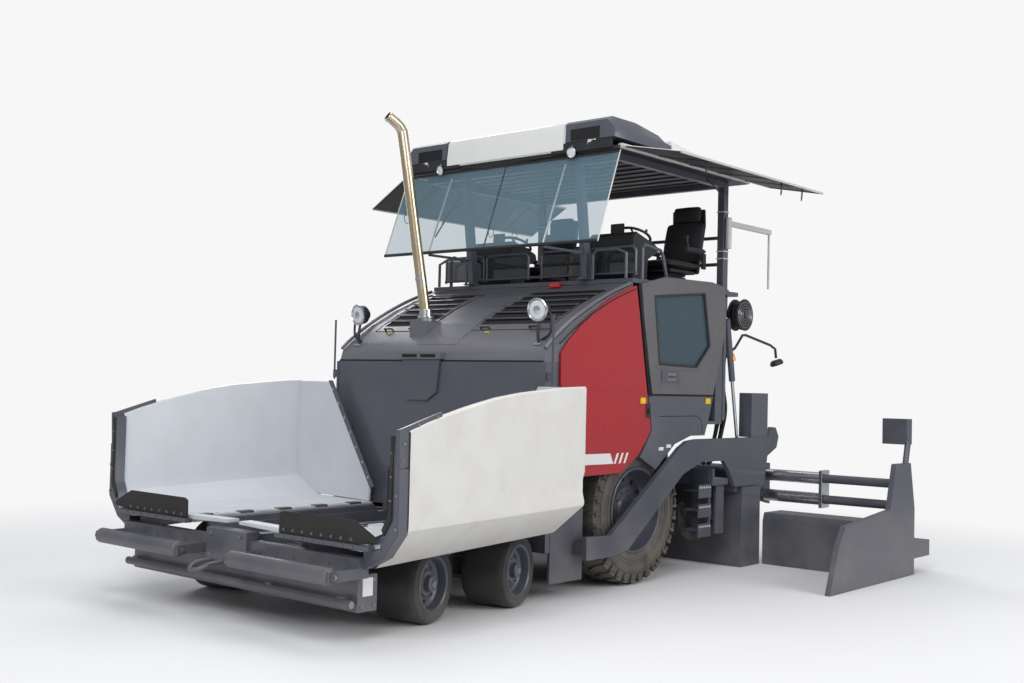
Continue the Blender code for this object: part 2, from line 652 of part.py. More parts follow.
def push_roller(label, side):
    """Free roller that pushes the lorry's rear wheels."""
    middle = (side * (ROLLER_INNER + ROLLER_OUTER) / 2, ROLLER_Y, ROLLER_Z)
    inner, outer = side * ROLLER_INNER, side * ROLLER_OUTER
    piece("push_roller_" + label, "frame_paint",
          [rod((inner, ROLLER_Y, ROLLER_Z), (outer, ROLLER_Y, ROLLER_Z), ROLLER_RADIUS, 20)], pivot=middle)


def hopper_cylinder(label, side):
    """Barrel and rod that raise the wing, between the two front axles."""
    y = HOPPER_CYLINDER["y"]
    foot = Vector((side * HOPPER_CYLINDER["foot"][0], y, HOPPER_CYLINDER["foot"][1]))
    eye = Vector((side * HOPPER_CYLINDER["eye"][0], y, HOPPER_CYLINDER["eye"][1]))
    way = (eye - foot).normalized()
    length = (eye - foot).length
    barrel_end = foot + way * (length * 0.62)
    piece("hopper_barrel_" + label, "frame_paint",
                   [rod(foot, barrel_end, 0.04),
                    rod(foot - Vector((0, TRUNNION_HALF, 0)), foot + Vector((0, TRUNNION_HALF, 0)), 0.035)],
                   [rod(foot + way * 0.08, barrel_end + way * 0.01, 0.025 + ROD_CLEARANCE)], pivot=foot)
    piece("hopper_rod_" + label, "steel", [rod(foot + way * 0.10, eye - way * 0.05, 0.025)], pivot=foot)


# ---------------------------------------------------------------- wheels
def heading():
    return math.radians(STEER_REST)


def steering_knuckle(number, axle, label, side):
    """Kingpin barrel with its flange and stub axle."""
    centre = Vector((side * KINGPIN_X, axle, FRONT_TYRE_RADIUS))
    way = Vector((math.cos(heading()), math.sin(heading()), 0.0)) * side
    height = 0.095 - PLATE - SEAT_GAP
    shapes = [
        rod(centre - Vector((0, 0, height)), centre + Vector((0, 0, height)), 0.045, 16),
        rod(centre, centre + way * 0.20, 0.03, 12),
        rod(centre + way * 0.06, centre + way * 0.125, 0.055, 16),
    ]
    piece(f"knuckle_{label}_{number}", "cast_iron", shapes, pivot=centre)


def front_wheel(number, axle, label, side):
    """Solid tyre on its dished rim."""
    centre = Vector((side * KINGPIN_X, axle, FRONT_TYRE_RADIUS))
    way = Vector((math.cos(heading()), math.sin(heading()), 0.0)) * side
    middle = centre + way * WHEEL_OFFSET
    half, radius = FRONT_TYRE_WIDTH / 2, FRONT_TYRE_RADIUS
    rim = radius * 0.68
    inner_face = 0.125 + SEAT_GAP - WHEEL_OFFSET
    profile = [(-half, rim), (-half, radius - 0.03), (-half + 0.03, radius), (half - 0.03, radius),
               (half, radius - 0.03), (half, rim), (half - 0.09, rim - 0.03), (half - 0.10, 0.075),
               (half - 0.05, 0.065), (half - 0.05, 0.036), (inner_face, 0.036), (inner_face, 0.075),
               (inner_face + 0.04, rim - 0.03), (inner_face - 0.01, rim - 0.028)]
    wheel = turned(profile, 24, middle, heading() + (0 if side > 0 else math.pi))
    piece(f"front_wheel_{label}_{number}", "tyre", [wheel], pivot=middle)


def rear_wheel(label, side):
    """Large drive wheel: tyre, rim well and hub disc against the final drive."""
    half, radius = REAR_TYRE_WIDTH / 2, REAR_TYRE_RADIUS - 0.01
    rim = 0.36
    hub_gap = 0.06 + SEAT_GAP
    profile = [(-half + 0.02, rim), (-half, rim + 0.08), (-half + 0.02, radius - 0.06), (-half + 0.06, radius),
               (half - 0.06, radius), (half - 0.02, radius - 0.06), (half, rim + 0.08), (half - 0.02, rim),
               (half - 0.04, rim - 0.03), (-half + 0.16, rim - 0.06), (-half + 0.15, 0.16), (half - 0.07, 0.13),
               (half - 0.07, 0.001), (-half + hub_gap, 0.001), (-half + hub_gap, 0.18),
               (-half + 0.10, rim - 0.05), (-half + 0.03, rim - 0.02)]
    centre = (side * REAR_WHEEL_X, REAR_AXLE_Y, REAR_TYRE_RADIUS - 0.01)
    wheel = turned(profile, 32, centre, 0.0 if side > 0 else math.pi)
    piece("rear_wheel_" + label, "tyre", [wheel, rod((side * (REAR_WHEEL_X - half + hub_gap + 0.001), *centre[1:]),
                                                     (side * (REAR_WHEEL_X + half - 0.071), *centre[1:]), 0.01, 8)],
          pivot=centre)


# ---------------------------------------------------------------- augers and screed
def auger(label, side):
    """Spreading screw: shaft and helical flight."""
    inner, outer, turns, steps = 0.10, HALF_WIDTH - 0.10, 3.5, 10
    count = int(turns * steps)
    sections = []
    for i in range(count + 1):
        angle = 2 * math.pi * i / steps
        x = inner + 0.03 + (outer - inner - 0.08) * i / count
        ring = []
        for radius, shift in ((0.03, 0), (AUGER_RADIUS, 0), (AUGER_RADIUS, 0.02), (0.03, 0.02)):
            ring.append((side * (x + shift), AUGER_Y + radius * math.cos(angle), AUGER_Z + radius * math.sin(angle)))
        sections.append(ring)
    shapes = [rod((side * inner, AUGER_Y, AUGER_Z), (side * outer, AUGER_Y, AUGER_Z), 0.045), loft(sections)]
    piece("auger_" + label, "cast_iron", shapes, pivot=(side * inner, AUGER_Y, AUGER_Z), solver="MANIFOLD")


def auger_carrier():
    """Gear case between the screws and the hangers at their outer ends."""
    top = TUNNEL_TOP - 0.10
    shapes = [
        box((-0.0996, 0.0996), (AUGER_Y - 0.11, AUGER_Y + 0.11), (AUGER_Z - 0.13, top)),
        box((-HALF_WIDTH + 0.03, HALF_WIDTH - 0.03), (FRAME_REAR + SEAT_GAP, AUGER_Y + 0.08), (top - 0.06, top)),
        box((-HALF_WIDTH + 0.03, HALF_WIDTH - 0.03), (FRAME_REAR + SEAT_GAP, FRAME_REAR + 0.03), (top - 0.02, TUNNEL_TOP - 0.004)),
    ]
    for side in (1, -1):
        outer = side * (HALF_WIDTH - 0.10 + SEAT_GAP)
        shapes.append(box((outer, outer + side * 0.03), (AUGER_Y - 0.07, AUGER_Y + 0.07), (AUGER_Z - 0.08, top - 0.01)))
    piece("auger_carrier", "frame_paint", shapes)


ARM_TOP = 1.24
ARM_OUTLINE = ((-0.195, 0.485), (-0.189, 0.296), (0.160, 0.297), (0.392, 0.335), (1.225, 0.934), (1.531, 1.033),
               (1.928, 1.029), (2.00, 0.96), (2.14, 0.775), (2.70, 0.775), (2.756, 1.051), (2.94, 1.13),
               (2.98, 1.237), (2.92, 1.33), (2.845, 1.335), (2.77, 1.24), (2.66, ARM_TOP), (1.45, ARM_TOP),
               (1.29, 1.225), (1.166, 1.170), (0.140, 0.475))


def tow_arm(label, side):
    """Cranked arm that tows the screed from the tow point, with its shoe in the guide."""
    inner, outer = side * (HALF_WIDTH - ARM_THICKNESS), side * HALF_WIDTH
    shoe = (-0.195 + 0.005, TOW_POINT_Y + 0.10)
    shapes = [
        plate("x", ARM_OUTLINE, inner, outer),
        box((side * (HALF_WIDTH - 0.135 + SEAT_GAP), side * (HALF_WIDTH - 0.01)), shoe,
            (TOW_POINT_Z - 0.05, TOW_POINT_Z + 0.05)),
    ]
    piece("tow_arm_" + label, "frame_paint", shapes, pivot=(side * HALF_WIDTH, TOW_POINT_Y, TOW_POINT_Z))


GUIDE_PLACES = ((2.86, 0.66), (2.86, 0.86))     # middle lines of the telescoping guides in (y, z)


def screed_main():
    """Basic screed: front panel, box, sole plate, arm brackets and the fixed guide sleeves."""
    half = HALF_WIDTH - SEAT_GAP
    outline = ((SCREED_FRONT, 0.0), (SCREED_REAR, 0.0), (SCREED_REAR, 0.40), (SCREED_REAR, SCREED_TOP - 0.002),
               (SCREED_FRONT, SCREED_TOP - 0.002), (SCREED_FRONT - 0.02, 0.10))
    shapes = [plate("x", outline, -half, half)]
    sleeve_end = HALF_WIDTH - 0.085
    bracket = ((SCREED_REAR - 0.08, SCREED_TOP - 0.12), (2.98, 0.56), (2.98, 0.97), (SCREED_REAR - 0.08, 0.97))
    cuts = []
    for side in (1, -1):
        for x in (0.06, sleeve_end - 0.04):
            shapes.append(plate("x", bracket, side * x, side * (x + 0.035)))
        for y, z in GUIDE_PLACES:
            shapes.append(rod((side * 0.03, y, z), (side * sleeve_end, y, z), GUIDE_RADII[0], 16))
            cuts.append(rod((side * 0.005, y, z), (side * (sleeve_end + 0.01), y, z),
                            GUIDE_RADII[1] + ROD_CLEARANCE, 16))
        # Post that joins the box to the tow arm above it.
        shapes.append(box((side * (half - 0.16), side * (half - ARM_THICKNESS)), (2.20, 2.66), (SCREED_TOP - 0.05, 1.15)))
    shapes.append(box((-0.05, 0.05), (SCREED_REAR - 0.05, 2.98), (0.60, 0.92)))
    piece("screed_main", "frame_paint", shapes, cuts, solver="MANIFOLD")


def guide_tube(label, side):
    """Middle stage of the telescoping guides: two tubes tied by a yoke."""
    inner, outer = 0.62, 1.85
    shapes, cuts = [], []
    for y, z in GUIDE_PLACES:
        shapes.append(rod((side * inner, y, z), (side * outer, y, z), GUIDE_RADII[1], 16))
        cuts.append(rod((side * (inner - 0.01), y, z), (side * (outer + 0.01), y, z),
                        GUIDE_RADII[2] + ROD_CLEARANCE, 16))
    shapes.append(box((side * (outer - 0.035), side * outer), (2.78, 2.94), (0.58, 0.94)))
    piece("guide_tube_" + label, "steel", shapes, cuts)


def screed_extension(label, side):
    """Sliding screed half with its rods, end gate, console and walkway."""
    gate_out = END_GATE_X + END_GATE_THICKNESS / 2
    gate_in = END_GATE_X - END_GATE_THICKNESS / 2
    body = ((EXTENSION_FRONT, 0.0), (EXTENSION_REAR, 0.0), (EXTENSION_REAR, 0.30), (3.02, 0.50),
            (EXTENSION_FRONT + 0.03, 0.50), (EXTENSION_FRONT, 0.42))
    gate = ((1.40, 0.0), (GATE_REAR, 0.0), (GATE_REAR, 0.62), (3.05, 1.05), (2.72, 1.05), (2.60, 0.64),
            (1.68, 0.555), (1.56, 0.40))
    shapes = [
        plate("x", body, side * EXTENSION_INNER, side * (gate_in + 0.01)),
        plate("x", gate, side * gate_in, side * gate_out),
        box((side * EXTENSION_INNER, side * gate_out), (EXTENSION_REAR - 0.05, WALKWAY_REAR), (0.27, 0.30)),
        box((side * (gate_out - 0.05), side * gate_out), (GATE_REAR - 0.05, WALKWAY_REAR - 0.002), (0.15, 0.298)),
        tube([(side * (gate_in + 0.015), 2.99, 0.98), (side * (gate_in + 0.015), 3.06, 1.25)], 0.03, 8),
        box((side * (gate_in - 0.22), side * (gate_in + 0.02)), (3.02, 3.14), (1.22, 1.46)),
    ]
    for y, z in GUIDE_PLACES:
        shapes.append(rod((side * 1.30, y, z), (side * (gate_in + 0.01), y, z), GUIDE_RADII[2], 16))
    piece("screed_extension_" + label, "frame_paint", shapes)


def lift_cylinder(label, side):
    """Barrel and rod between the tractor's rear wall and the tow arm."""
    x = side * LIFT_CYLINDER["x"]
    foot = Vector((x, *LIFT_CYLINDER["foot"]))
    eye = Vector((x, *LIFT_CYLINDER["eye"]))
    way = (eye - foot).normalized()
    across = Vector((side * 0.02, 0, 0))
    barrel_end = foot + way * 0.58
    piece("lift_barrel_" + label, "frame_paint",
          [rod(foot, barrel_end, 0.030), rod(foot - across * 1.6, foot + across, 0.028)],
          [rod(foot + way * 0.05, barrel_end + way * 0.01, 0.016 + ROD_CLEARANCE)], pivot=foot)
    piece("lift_rod_" + label, "steel",
          [rod(foot + way * 0.53, eye, 0.016), rod(eye - across, eye + across * 0.95, 0.028)], pivot=foot)


# ---------------------------------------------------------------- rear fittings
def rear_box():
    """Tall cabinet on the left tow arm."""
    piece("rear_box", "body_paint", [box((1.13, HALF_WIDTH - 0.005), (2.44, 2.76),
                                         (ARM_TOP + SEAT_GAP, 1.67))])


def jib():
    """Swinging arm on the left rear post."""
    post_x = REAR_POST_X + 0.035 + 0.03 + SEAT_GAP
    shapes = [
        rod((post_x, 2.09, 3.05), (post_x, 2.09, 3.35), 0.03),
        box((post_x - 0.02, post_x + 0.02), (2.10, 2.90), (3.27, 3.32)),
        rod((post_x, 2.88, 2.72), (post_x, 2.88, 3.30), 0.012, 8),
    ]
    piece("jib", "steel", shapes, pivot=(post_x, 2.09, 0.0))


def build():
    main_frame()
    front_beam()
    body_shell()
    hood()
    engine_block()
    deck()
    console()
    canopy_frame()
    canopy_roof()
    windshield()
    exhaust()
    auger_carrier()
    screed_main()
    rear_box()
    jib()
    for label, side in SIDES:
        side_panel(label, side)
        service_door(label, side)
        seat(label, side)
        awning(label, side)
        hopper_wing(label, side)
        push_roller(label, side)
        hopper_cylinder(label, side)
        lift_cylinder(label, side)
        door_glass(label, side)
        rear_wheel(label, side)
        auger(label, side)
        tow_guide(label, side)
        tow_arm(label, side)
        guide_tube(label, side)
        screed_extension(label, side)
        for number, axle in enumerate(FRONT_AXLES, 1):
            steering_knuckle(number, axle, label, side)
            front_wheel(number, axle, label, side)


build()
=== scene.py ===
"""Looks of the wheeled asphalt paver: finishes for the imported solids, and detailed
pieces that stand for some of them or fasten to them.

Every piece is built in the machine's own frame (front towards -Y, left towards +X,
y = 0.70 behind the front wall's face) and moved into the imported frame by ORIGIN_Y.
"""
import math

import bpy
import bmesh
from mathutils import Matrix, Vector


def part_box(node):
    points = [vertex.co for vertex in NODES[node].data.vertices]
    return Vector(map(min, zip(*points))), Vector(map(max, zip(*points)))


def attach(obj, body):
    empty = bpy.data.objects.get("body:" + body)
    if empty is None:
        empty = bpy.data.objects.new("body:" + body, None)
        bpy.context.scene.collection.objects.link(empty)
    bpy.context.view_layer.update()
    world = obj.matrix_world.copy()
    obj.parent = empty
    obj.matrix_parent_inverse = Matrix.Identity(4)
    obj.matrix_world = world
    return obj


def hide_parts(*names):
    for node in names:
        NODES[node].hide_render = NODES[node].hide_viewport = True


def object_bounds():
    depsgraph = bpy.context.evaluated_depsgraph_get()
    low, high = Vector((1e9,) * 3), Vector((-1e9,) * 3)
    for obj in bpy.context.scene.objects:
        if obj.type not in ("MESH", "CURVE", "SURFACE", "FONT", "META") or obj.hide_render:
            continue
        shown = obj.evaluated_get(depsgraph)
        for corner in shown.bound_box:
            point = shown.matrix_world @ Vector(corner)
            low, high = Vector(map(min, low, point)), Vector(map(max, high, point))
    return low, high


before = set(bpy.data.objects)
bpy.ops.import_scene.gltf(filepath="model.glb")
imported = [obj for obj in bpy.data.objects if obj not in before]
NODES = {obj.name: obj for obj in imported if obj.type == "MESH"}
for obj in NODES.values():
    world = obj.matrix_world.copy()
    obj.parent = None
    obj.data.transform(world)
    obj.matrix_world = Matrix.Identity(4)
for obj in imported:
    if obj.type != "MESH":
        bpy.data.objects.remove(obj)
cad_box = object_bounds()

WALL_FRONT = -0.70
ORIGIN_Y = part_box("body_shell")[0][1] - WALL_FRONT
SIDES = (("left", 1), ("right", -1))


def low(node):
    """A node's lowest corner in the machine's frame."""
    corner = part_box(node)[0]
    return Vector((corner[0], corner[1] - ORIGIN_Y, corner[2]))


def high(node):
    """A node's highest corner in the machine's frame."""
    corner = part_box(node)[1]
    return Vector((corner[0], corner[1] - ORIGIN_Y, corner[2]))


# ---------------------------------------------------------------- camera, floor, light
CAMERA_PLACE = Vector((7.1343, -7.9828, 1.702))
CAMERA_TURN, CAMERA_TILT, CAMERA_ROLL = (math.radians(a) for a in (40.6927, 2.035, 1.3261))
CAMERA_LENS = 42.29
BACKDROP = (0.93, 0.93, 0.935)


def camera():
    ahead = Vector((-math.sin(CAMERA_TURN) * math.cos(CAMERA_TILT),
                    math.cos(CAMERA_TURN) * math.cos(CAMERA_TILT), math.sin(CAMERA_TILT)))
    right = Vector((math.cos(CAMERA_TURN), math.sin(CAMERA_TURN), 0.0))
    up = right.cross(ahead)
    rolled_right = right * math.cos(CAMERA_ROLL) + up * math.sin(CAMERA_ROLL)
    rolled_up = up * math.cos(CAMERA_ROLL) - right * math.sin(CAMERA_ROLL)
    data = bpy.data.cameras.new("camera")
    data.lens = CAMERA_LENS
    data.clip_end = 200.0
    made = bpy.data.objects.new("camera", data)
    turn = Matrix((rolled_right, rolled_up, -ahead)).transposed().to_4x4()
    made.matrix_world = Matrix.Translation(CAMERA_PLACE + Vector((0, ORIGIN_Y, 0))) @ turn
    bpy.context.scene.collection.objects.link(made)
    bpy.context.scene.camera = made


def area_light(name, place, target, size, power, colour=(1.0, 1.0, 1.0)):
    data = bpy.data.lights.new(name, "AREA")
    data.shape = "DISK"
    data.size = size
    data.energy = power
    data.color = colour
    made = bpy.data.objects.new(name, data)
    made.location = place
    made.rotation_euler = (Vector(target) - Vector(place)).to_track_quat("-Z", "Y").to_euler()
    bpy.context.scene.collection.objects.link(made)


def studio():
    scene = bpy.context.scene
    scene.view_settings.view_transform = "Standard"
    world = bpy.data.worlds.new("studio")
    scene.world = world
    world.use_nodes = True
    tree = world.node_tree
    back = tree.nodes["Background"]
    back.inputs["Color"].default_value = (0.93, 0.96, 1.0, 1.0)
    back.inputs["Strength"].default_value = 0.42
    seen = tree.nodes.new("ShaderNodeBackground")
    seen.inputs["Color"].default_value = (*BACKDROP, 1.0)
    seen.inputs["Strength"].default_value = 1.0
    path = tree.nodes.new("ShaderNodeLightPath")
    mix = tree.nodes.new("ShaderNodeMixShader")
    tree.links.new(path.outputs["Is Camera Ray"], mix.inputs["Fac"])
    tree.links.new(back.outputs[0], mix.inputs[1])
    tree.links.new(seen.outputs[0], mix.inputs[2])
    tree.links.new(mix.outputs[0], tree.nodes["World Output"].inputs["Surface"])
    area_light("key", (5.0, -9.0, 8.0), (0.0, -0.5, 1.5), 7.0, 640)
    area_light("side", (10.0, 1.5, 5.0), (0.0, 0.5, 1.5), 6.0, 380)
    area_light("far", (-8.0, 5.0, 6.0), (0.0, 0.0, 1.5), 7.0, 380)
    area_light("top", (0.0, 0.5, 10.0), (0.0, 0.0, 1.0), 8.0, 330)
    mesh = bpy.data.meshes.new("floor")
    half = 60.0
    mesh.from_pydata([(-half, -half, 0), (half, -half, 0), (half, half, 0), (-half, half, 0)], [], [(0, 1, 2, 3)])
    floor = bpy.data.objects.new("floor", mesh)
    floor.location.z = cad_box[0][2] - 0.001
    scene.collection.objects.link(floor)
    mesh.materials.append(floor_finish())


def floor_finish():
    """Pale floor that keeps the shadow near the object and fades into the backdrop."""
    made = surface("floor", (0.80, 0.80, 0.81), 0.8, second=(0.76, 0.76, 0.77), scale=0.6, amount=0.5,
                   bump=0.02, bump_scale=40)
    tree = made.node_tree
    nodes, link = tree.nodes, tree.links.new
    place = nodes.new("ShaderNodeTexCoord")
    reach = nodes.new("ShaderNodeVectorMath")
    reach.operation = "LENGTH"
    link(place.outputs["Object"], reach.inputs[0])
    fade = nodes.new("ShaderNodeMapRange")
    fade.interpolation_type = "SMOOTHSTEP"
    fade.inputs["From Min"].default_value = 3.6
    fade.inputs["From Max"].default_value = 8.5
    link(reach.outputs["Value"], fade.inputs["Value"])
    path = nodes.new("ShaderNodeLightPath")
    mask = nodes.new("ShaderNodeMath")
    mask.operation = "MULTIPLY"
    link(fade.outputs["Result"], mask.inputs[0])
    link(path.outputs["Is Camera Ray"], mask.inputs[1])
    glow = nodes.new("ShaderNodeEmission")
    glow.inputs["Color"].default_value = (*BACKDROP, 1.0)
    mix = nodes.new("ShaderNodeMixShader")
    link(mask.outputs[0], mix.inputs["Fac"])
    link(nodes["Principled BSDF"].outputs[0], mix.inputs[1])
    link(glow.outputs[0], mix.inputs[2])
    link(mix.outputs[0], nodes["Material Output"].inputs["Surface"])
    return made


# ---------------------------------------------------------------- materials
def surface(name, colour, rough, metal=0.0, second=None, scale=3.0, amount=0.5, bump=0.05,
            bump_scale=120.0, bump_depth=0.002, coat=0.0, rough_spread=0.12, low_dust=None):
    """A Principled material whose colour drifts towards second in soft patches, with a
    fine grain in its relief and a roughness that varies. low_dust = (colour, height,
    strength) lays road dust on what is near the ground."""
    made = bpy.data.materials.new(name)
    made.use_nodes = True
    tree = made.node_tree
    nodes, link = tree.nodes, tree.links.new
    shader = nodes["Principled BSDF"]
    shader.inputs["Metallic"].default_value = metal
    shader.inputs["Coat Weight"].default_value = coat
    shader.inputs["Coat Roughness"].default_value = 0.12
    place = nodes.new("ShaderNodeTexCoord")

    def noise(noise_scale, detail, roughness=0.55):
        node = nodes.new("ShaderNodeTexNoise")
        node.inputs["Scale"].default_value = noise_scale
        node.inputs["Detail"].default_value = detail
        node.inputs["Roughness"].default_value = roughness
        link(place.outputs["Object"], node.inputs["Vector"])
        return node

    def ramp(source, start, end, start_value, end_value):
        node = nodes.new("ShaderNodeMapRange")
        for socket, value in (("From Min", start), ("From Max", end), ("To Min", start_value),
                              ("To Max", end_value)):
            node.inputs[socket].default_value = value
        link(source, node.inputs["Value"])
        return node.outputs["Result"]

    def blend(factor, first, other):
        node = nodes.new("ShaderNodeMix")
        node.data_type = "RGBA"
        link(factor, node.inputs["Factor"])
        for socket, value in ((node.inputs[6], first), (node.inputs[7], other)):
            if isinstance(value, tuple):
                socket.default_value = (*value, 1.0)
            else:
                link(value, socket)
        return node.outputs[2]

    patches = noise(scale, 6.0)
    other = second or tuple(c * 0.75 for c in colour)
    tint = blend(ramp(patches.outputs["Fac"], 0.42, 0.72, 0.0, amount), colour, other)
    specks = noise(scale * 9, 8.0, 0.7)
    tint = blend(ramp(specks.outputs["Fac"], 0.60, 0.75, 0.0, amount * 0.6), tint, other)
    if low_dust:
        dust, height, strength = low_dust
        split = nodes.new("ShaderNodeSeparateXYZ")
        link(place.outputs["Object"], split.inputs[0])
        near_ground = ramp(split.outputs["Z"], height, 0.0, 0.0, strength)
        mask = nodes.new("ShaderNodeMath")
        mask.operation = "MULTIPLY"
        link(near_ground, mask.inputs[0])
        link(ramp(patches.outputs["Fac"], 0.35, 0.65, 0.3, 1.0), mask.inputs[1])
        tint = blend(mask.outputs[0], tint, dust)
    link(tint, shader.inputs["Base Color"])
    link(ramp(patches.outputs["Fac"], 0.3, 0.7, max(0.02, rough - rough_spread / 2), min(1.0, rough + rough_spread)),
         shader.inputs["Roughness"])
    grain = noise(bump_scale, 4.0)
    relief = nodes.new("ShaderNodeBump")
    relief.inputs["Strength"].default_value = bump
    relief.inputs["Distance"].default_value = bump_depth
    link(grain.outputs["Fac"], relief.inputs["Height"])
    link(relief.outputs["Normal"], shader.inputs["Normal"])
    return made


def glass(name, colour, alpha, rough=0.04):
    """Tinted pane, seen through."""
    made = surface(name, colour, rough, rough_spread=0.03, bump=0.01, bump_scale=8.0, amount=0.25, scale=1.2)
    shader = made.node_tree.nodes["Principled BSDF"]
    shader.inputs["Alpha"].default_value = alpha
    shader.inputs["Specular IOR Level"].default_value = 0.8
    return made


def lamp_glow(name, colour, strength):
    made = surface(name, colour, 0.15, bump=0.3, bump_scale=90.0, amount=0.2, coat=0.5)
    shader = made.node_tree.nodes["Principled BSDF"]
    shader.inputs["Emission Color"].default_value = (*colour, 1.0)
    shader.inputs["Emission Strength"].default_value = strength
    return made


DUST = (0.27, 0.24, 0.21)
BLUE_GREY = (0.078, 0.082, 0.105)
MAT = {
    "frame": surface("frame_paint", (0.066, 0.070, 0.092), 0.42, second=(0.10, 0.10, 0.115), amount=0.6,
                     coat=0.15, low_dust=(DUST, 0.9, 0.35)),
    "body": surface("body_paint", BLUE_GREY, 0.36, second=(0.105, 0.106, 0.122), amount=0.5, coat=0.25),
    "hood": surface("hood_paint", (0.13, 0.132, 0.15), 0.34, second=(0.10, 0.10, 0.12), amount=0.5, coat=0.3),
    "warm": surface("door_paint", (0.105, 0.100, 0.108), 0.38, second=(0.13, 0.125, 0.13), amount=0.5, coat=0.25),
    "red": surface("red_paint", (0.36, 0.008, 0.014), 0.26, second=(0.30, 0.006, 0.012), amount=0.5, coat=0.6),
    "white": surface("hopper_white", (0.66, 0.65, 0.62), 0.42, second=(0.52, 0.49, 0.44), amount=0.45, coat=0.1,
                     low_dust=(DUST, 0.9, 0.25)),
    "inner": surface("hopper_inside", (0.60, 0.62, 0.66), 0.40, second=(0.50, 0.51, 0.54), amount=0.4),
    "stripe": surface("stripe_white", (0.72, 0.72, 0.72), 0.35, amount=0.2),
    "roof": surface("roof_white", (0.74, 0.74, 0.73), 0.36, second=(0.62, 0.62, 0.61), amount=0.3, coat=0.2),
    "tyre": surface("front_tyre", (0.020, 0.020, 0.022), 0.62, second=(0.05, 0.047, 0.044), amount=0.5,
                    bump=0.25, bump_scale=60.0, low_dust=(DUST, 0.35, 0.35)),
    "tread": surface("rear_tyre", (0.028, 0.026, 0.025), 0.82, second=(0.11, 0.10, 0.088), amount=0.75,
                     bump=0.4, bump_scale=45.0, low_dust=(DUST, 1.3, 0.45)),
    "rubber": surface("flap_rubber", (0.020, 0.018, 0.017), 0.70, second=(0.045, 0.037, 0.032), amount=0.6,
                      bump=0.35, bump_scale=70.0),
    "steel": surface("bright_steel", (0.62, 0.63, 0.65), 0.22, metal=1.0, second=(0.45, 0.45, 0.46), amount=0.5,
                     bump=0.08, bump_scale=200.0),
    "bolt": surface("bolt_steel", (0.34, 0.34, 0.35), 0.42, metal=1.0, second=(0.20, 0.19, 0.18), amount=0.6),
    "gold": surface("exhaust_steel", (0.62, 0.50, 0.33), 0.24, metal=1.0, second=(0.55, 0.52, 0.50), scale=1.4,
                    amount=0.8, bump=0.12, bump_scale=180.0),
    "cast": surface("cast_iron", (0.075, 0.075, 0.080), 0.55, metal=0.3, second=(0.14, 0.11, 0.085), amount=0.6,
                    bump=0.3, bump_scale=55.0),
    "black": surface("black_plastic", (0.018, 0.018, 0.020), 0.45, second=(0.035, 0.035, 0.037), amount=0.5,
                     bump=0.2, bump_scale=150.0),
    # Near-black of seams, gap lines and the console's display, and painted shade: its dark sheets under the hood
    # louvres, in the rim holes, the intake slots and the exhaust mouth stand for the shade in those openings.
    "dark_and_painted_shade": surface("near_black_and_painted_shade", (0.006, 0.006, 0.007), 0.8, amount=0.3),
    "cover": surface("seat_cover", (0.022, 0.022, 0.025), 0.72, second=(0.040, 0.040, 0.044), amount=0.5,
                     bump=0.55, bump_scale=320.0, bump_depth=0.003),
    "yellow": surface("yellow_tag", (0.74, 0.50, 0.02), 0.4, amount=0.3),
    "amber": lamp_glow("amber_lens", (0.95, 0.24, 0.02), 0.15),
    "red_lens": lamp_glow("red_lens", (0.55, 0.01, 0.01), 0.1),
    "lens": lamp_glow("lamp_lens", (0.62, 0.66, 0.70), 0.05),
    "cyan": surface("cyan_joint", (0.03, 0.42, 0.55), 0.4, amount=0.3),
    "screen": glass("windshield_glass", (0.20, 0.34, 0.42), 0.30),
    "pane": glass("door_glass", (0.06, 0.10, 0.13), 0.62),
    "smoke": glass("smoked_panel", (0.03, 0.035, 0.04), 0.80),
    "pale": surface("pale_arm", (0.56, 0.56, 0.54), 0.42, amount=0.4),
}

FINISH = {
    "main_frame": "frame", "front_beam": "frame", "body_shell": "body", "hood": "hood", "engine_block": "cast",
    "platform_deck": "body", "console": "black", "canopy_frame": "body", "canopy_roof": "roof",
    "windshield": "screen", "exhaust": "gold", "auger_carrier": "frame", "side_panel": "red", "seat": "cover",
    "screed_main": "frame", "tow_arm": "frame", "tow_guide": "frame", "rear_box": "body", "hopper_wing": "white",
    "push_roller": "cast", "knuckle": "cast", "front_wheel": "tyre", "rear_wheel": "tread", "auger": "cast",
    "lift_barrel": "frame", "lift_rod": "steel", "hopper_barrel": "frame", "hopper_rod": "steel",
    "screed_extension": "frame", "guide_tube": "steel", "service_door": "warm", "door_glass": "pane",
    "awning": "roof", "jib": "pale",
}
NO_BEVEL = ("door_glass", "windshield", "auger_left", "auger_right", "exhaust", "hopper_rod", "lift_rod")


def dress_frame():
    """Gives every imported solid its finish, and breaks its hard edges."""
    for name, node in NODES.items():
        kind = max((key for key in FINISH if name.startswith(key)), key=len)
        for slot in node.material_slots:
            slot.material = MAT[FINISH[kind]]
        if name.startswith(NO_BEVEL):
            continue
        weld = node.modifiers.new("weld", "WELD")
        weld.merge_threshold = 0.00005
        edge = node.modifiers.new("edge", "BEVEL")
        edge.width = 0.004
        edge.segments = 2
        edge.limit_method = "ANGLE"
        edge.angle_limit = math.radians(38)
        edge.use_clamp_overlap = True
        node.modifiers.new("shade", "WEIGHTED_NORMAL")


# ---------------------------------------------------------------- building shapes
PLANES = {
    "x": Matrix(((0, 0, 1), (1, 0, 0), (0, 1, 0))),     # outline in (y, z)
    "y": Matrix(((1, 0, 0), (0, 0, -1), (0, 1, 0))),    # outline in (x, z)
    "z": Matrix.Identity(3),                            # outline in (x, y)
}


def smooth_path(points, steps=6):
    """Points of a curve that runs smoothly through the given ones."""
    points = [Vector(p) for p in points]
    if len(points) < 3:
        return points
    ends = [2 * points[0] - points[1], *points, 2 * points[-1] - points[-2]]
    path = []
    for before, here, there, after in zip(ends, ends[1:], ends[2:], ends[3:]):
        for i in range(steps):
            t = i / steps
            path.append(0.5 * (2 * here + (there - before) * t + (2 * before - 5 * here + 4 * there - after) * t * t
                               + (3 * here - before - 3 * there + after) * t ** 3))
    return [*path, points[-1]]


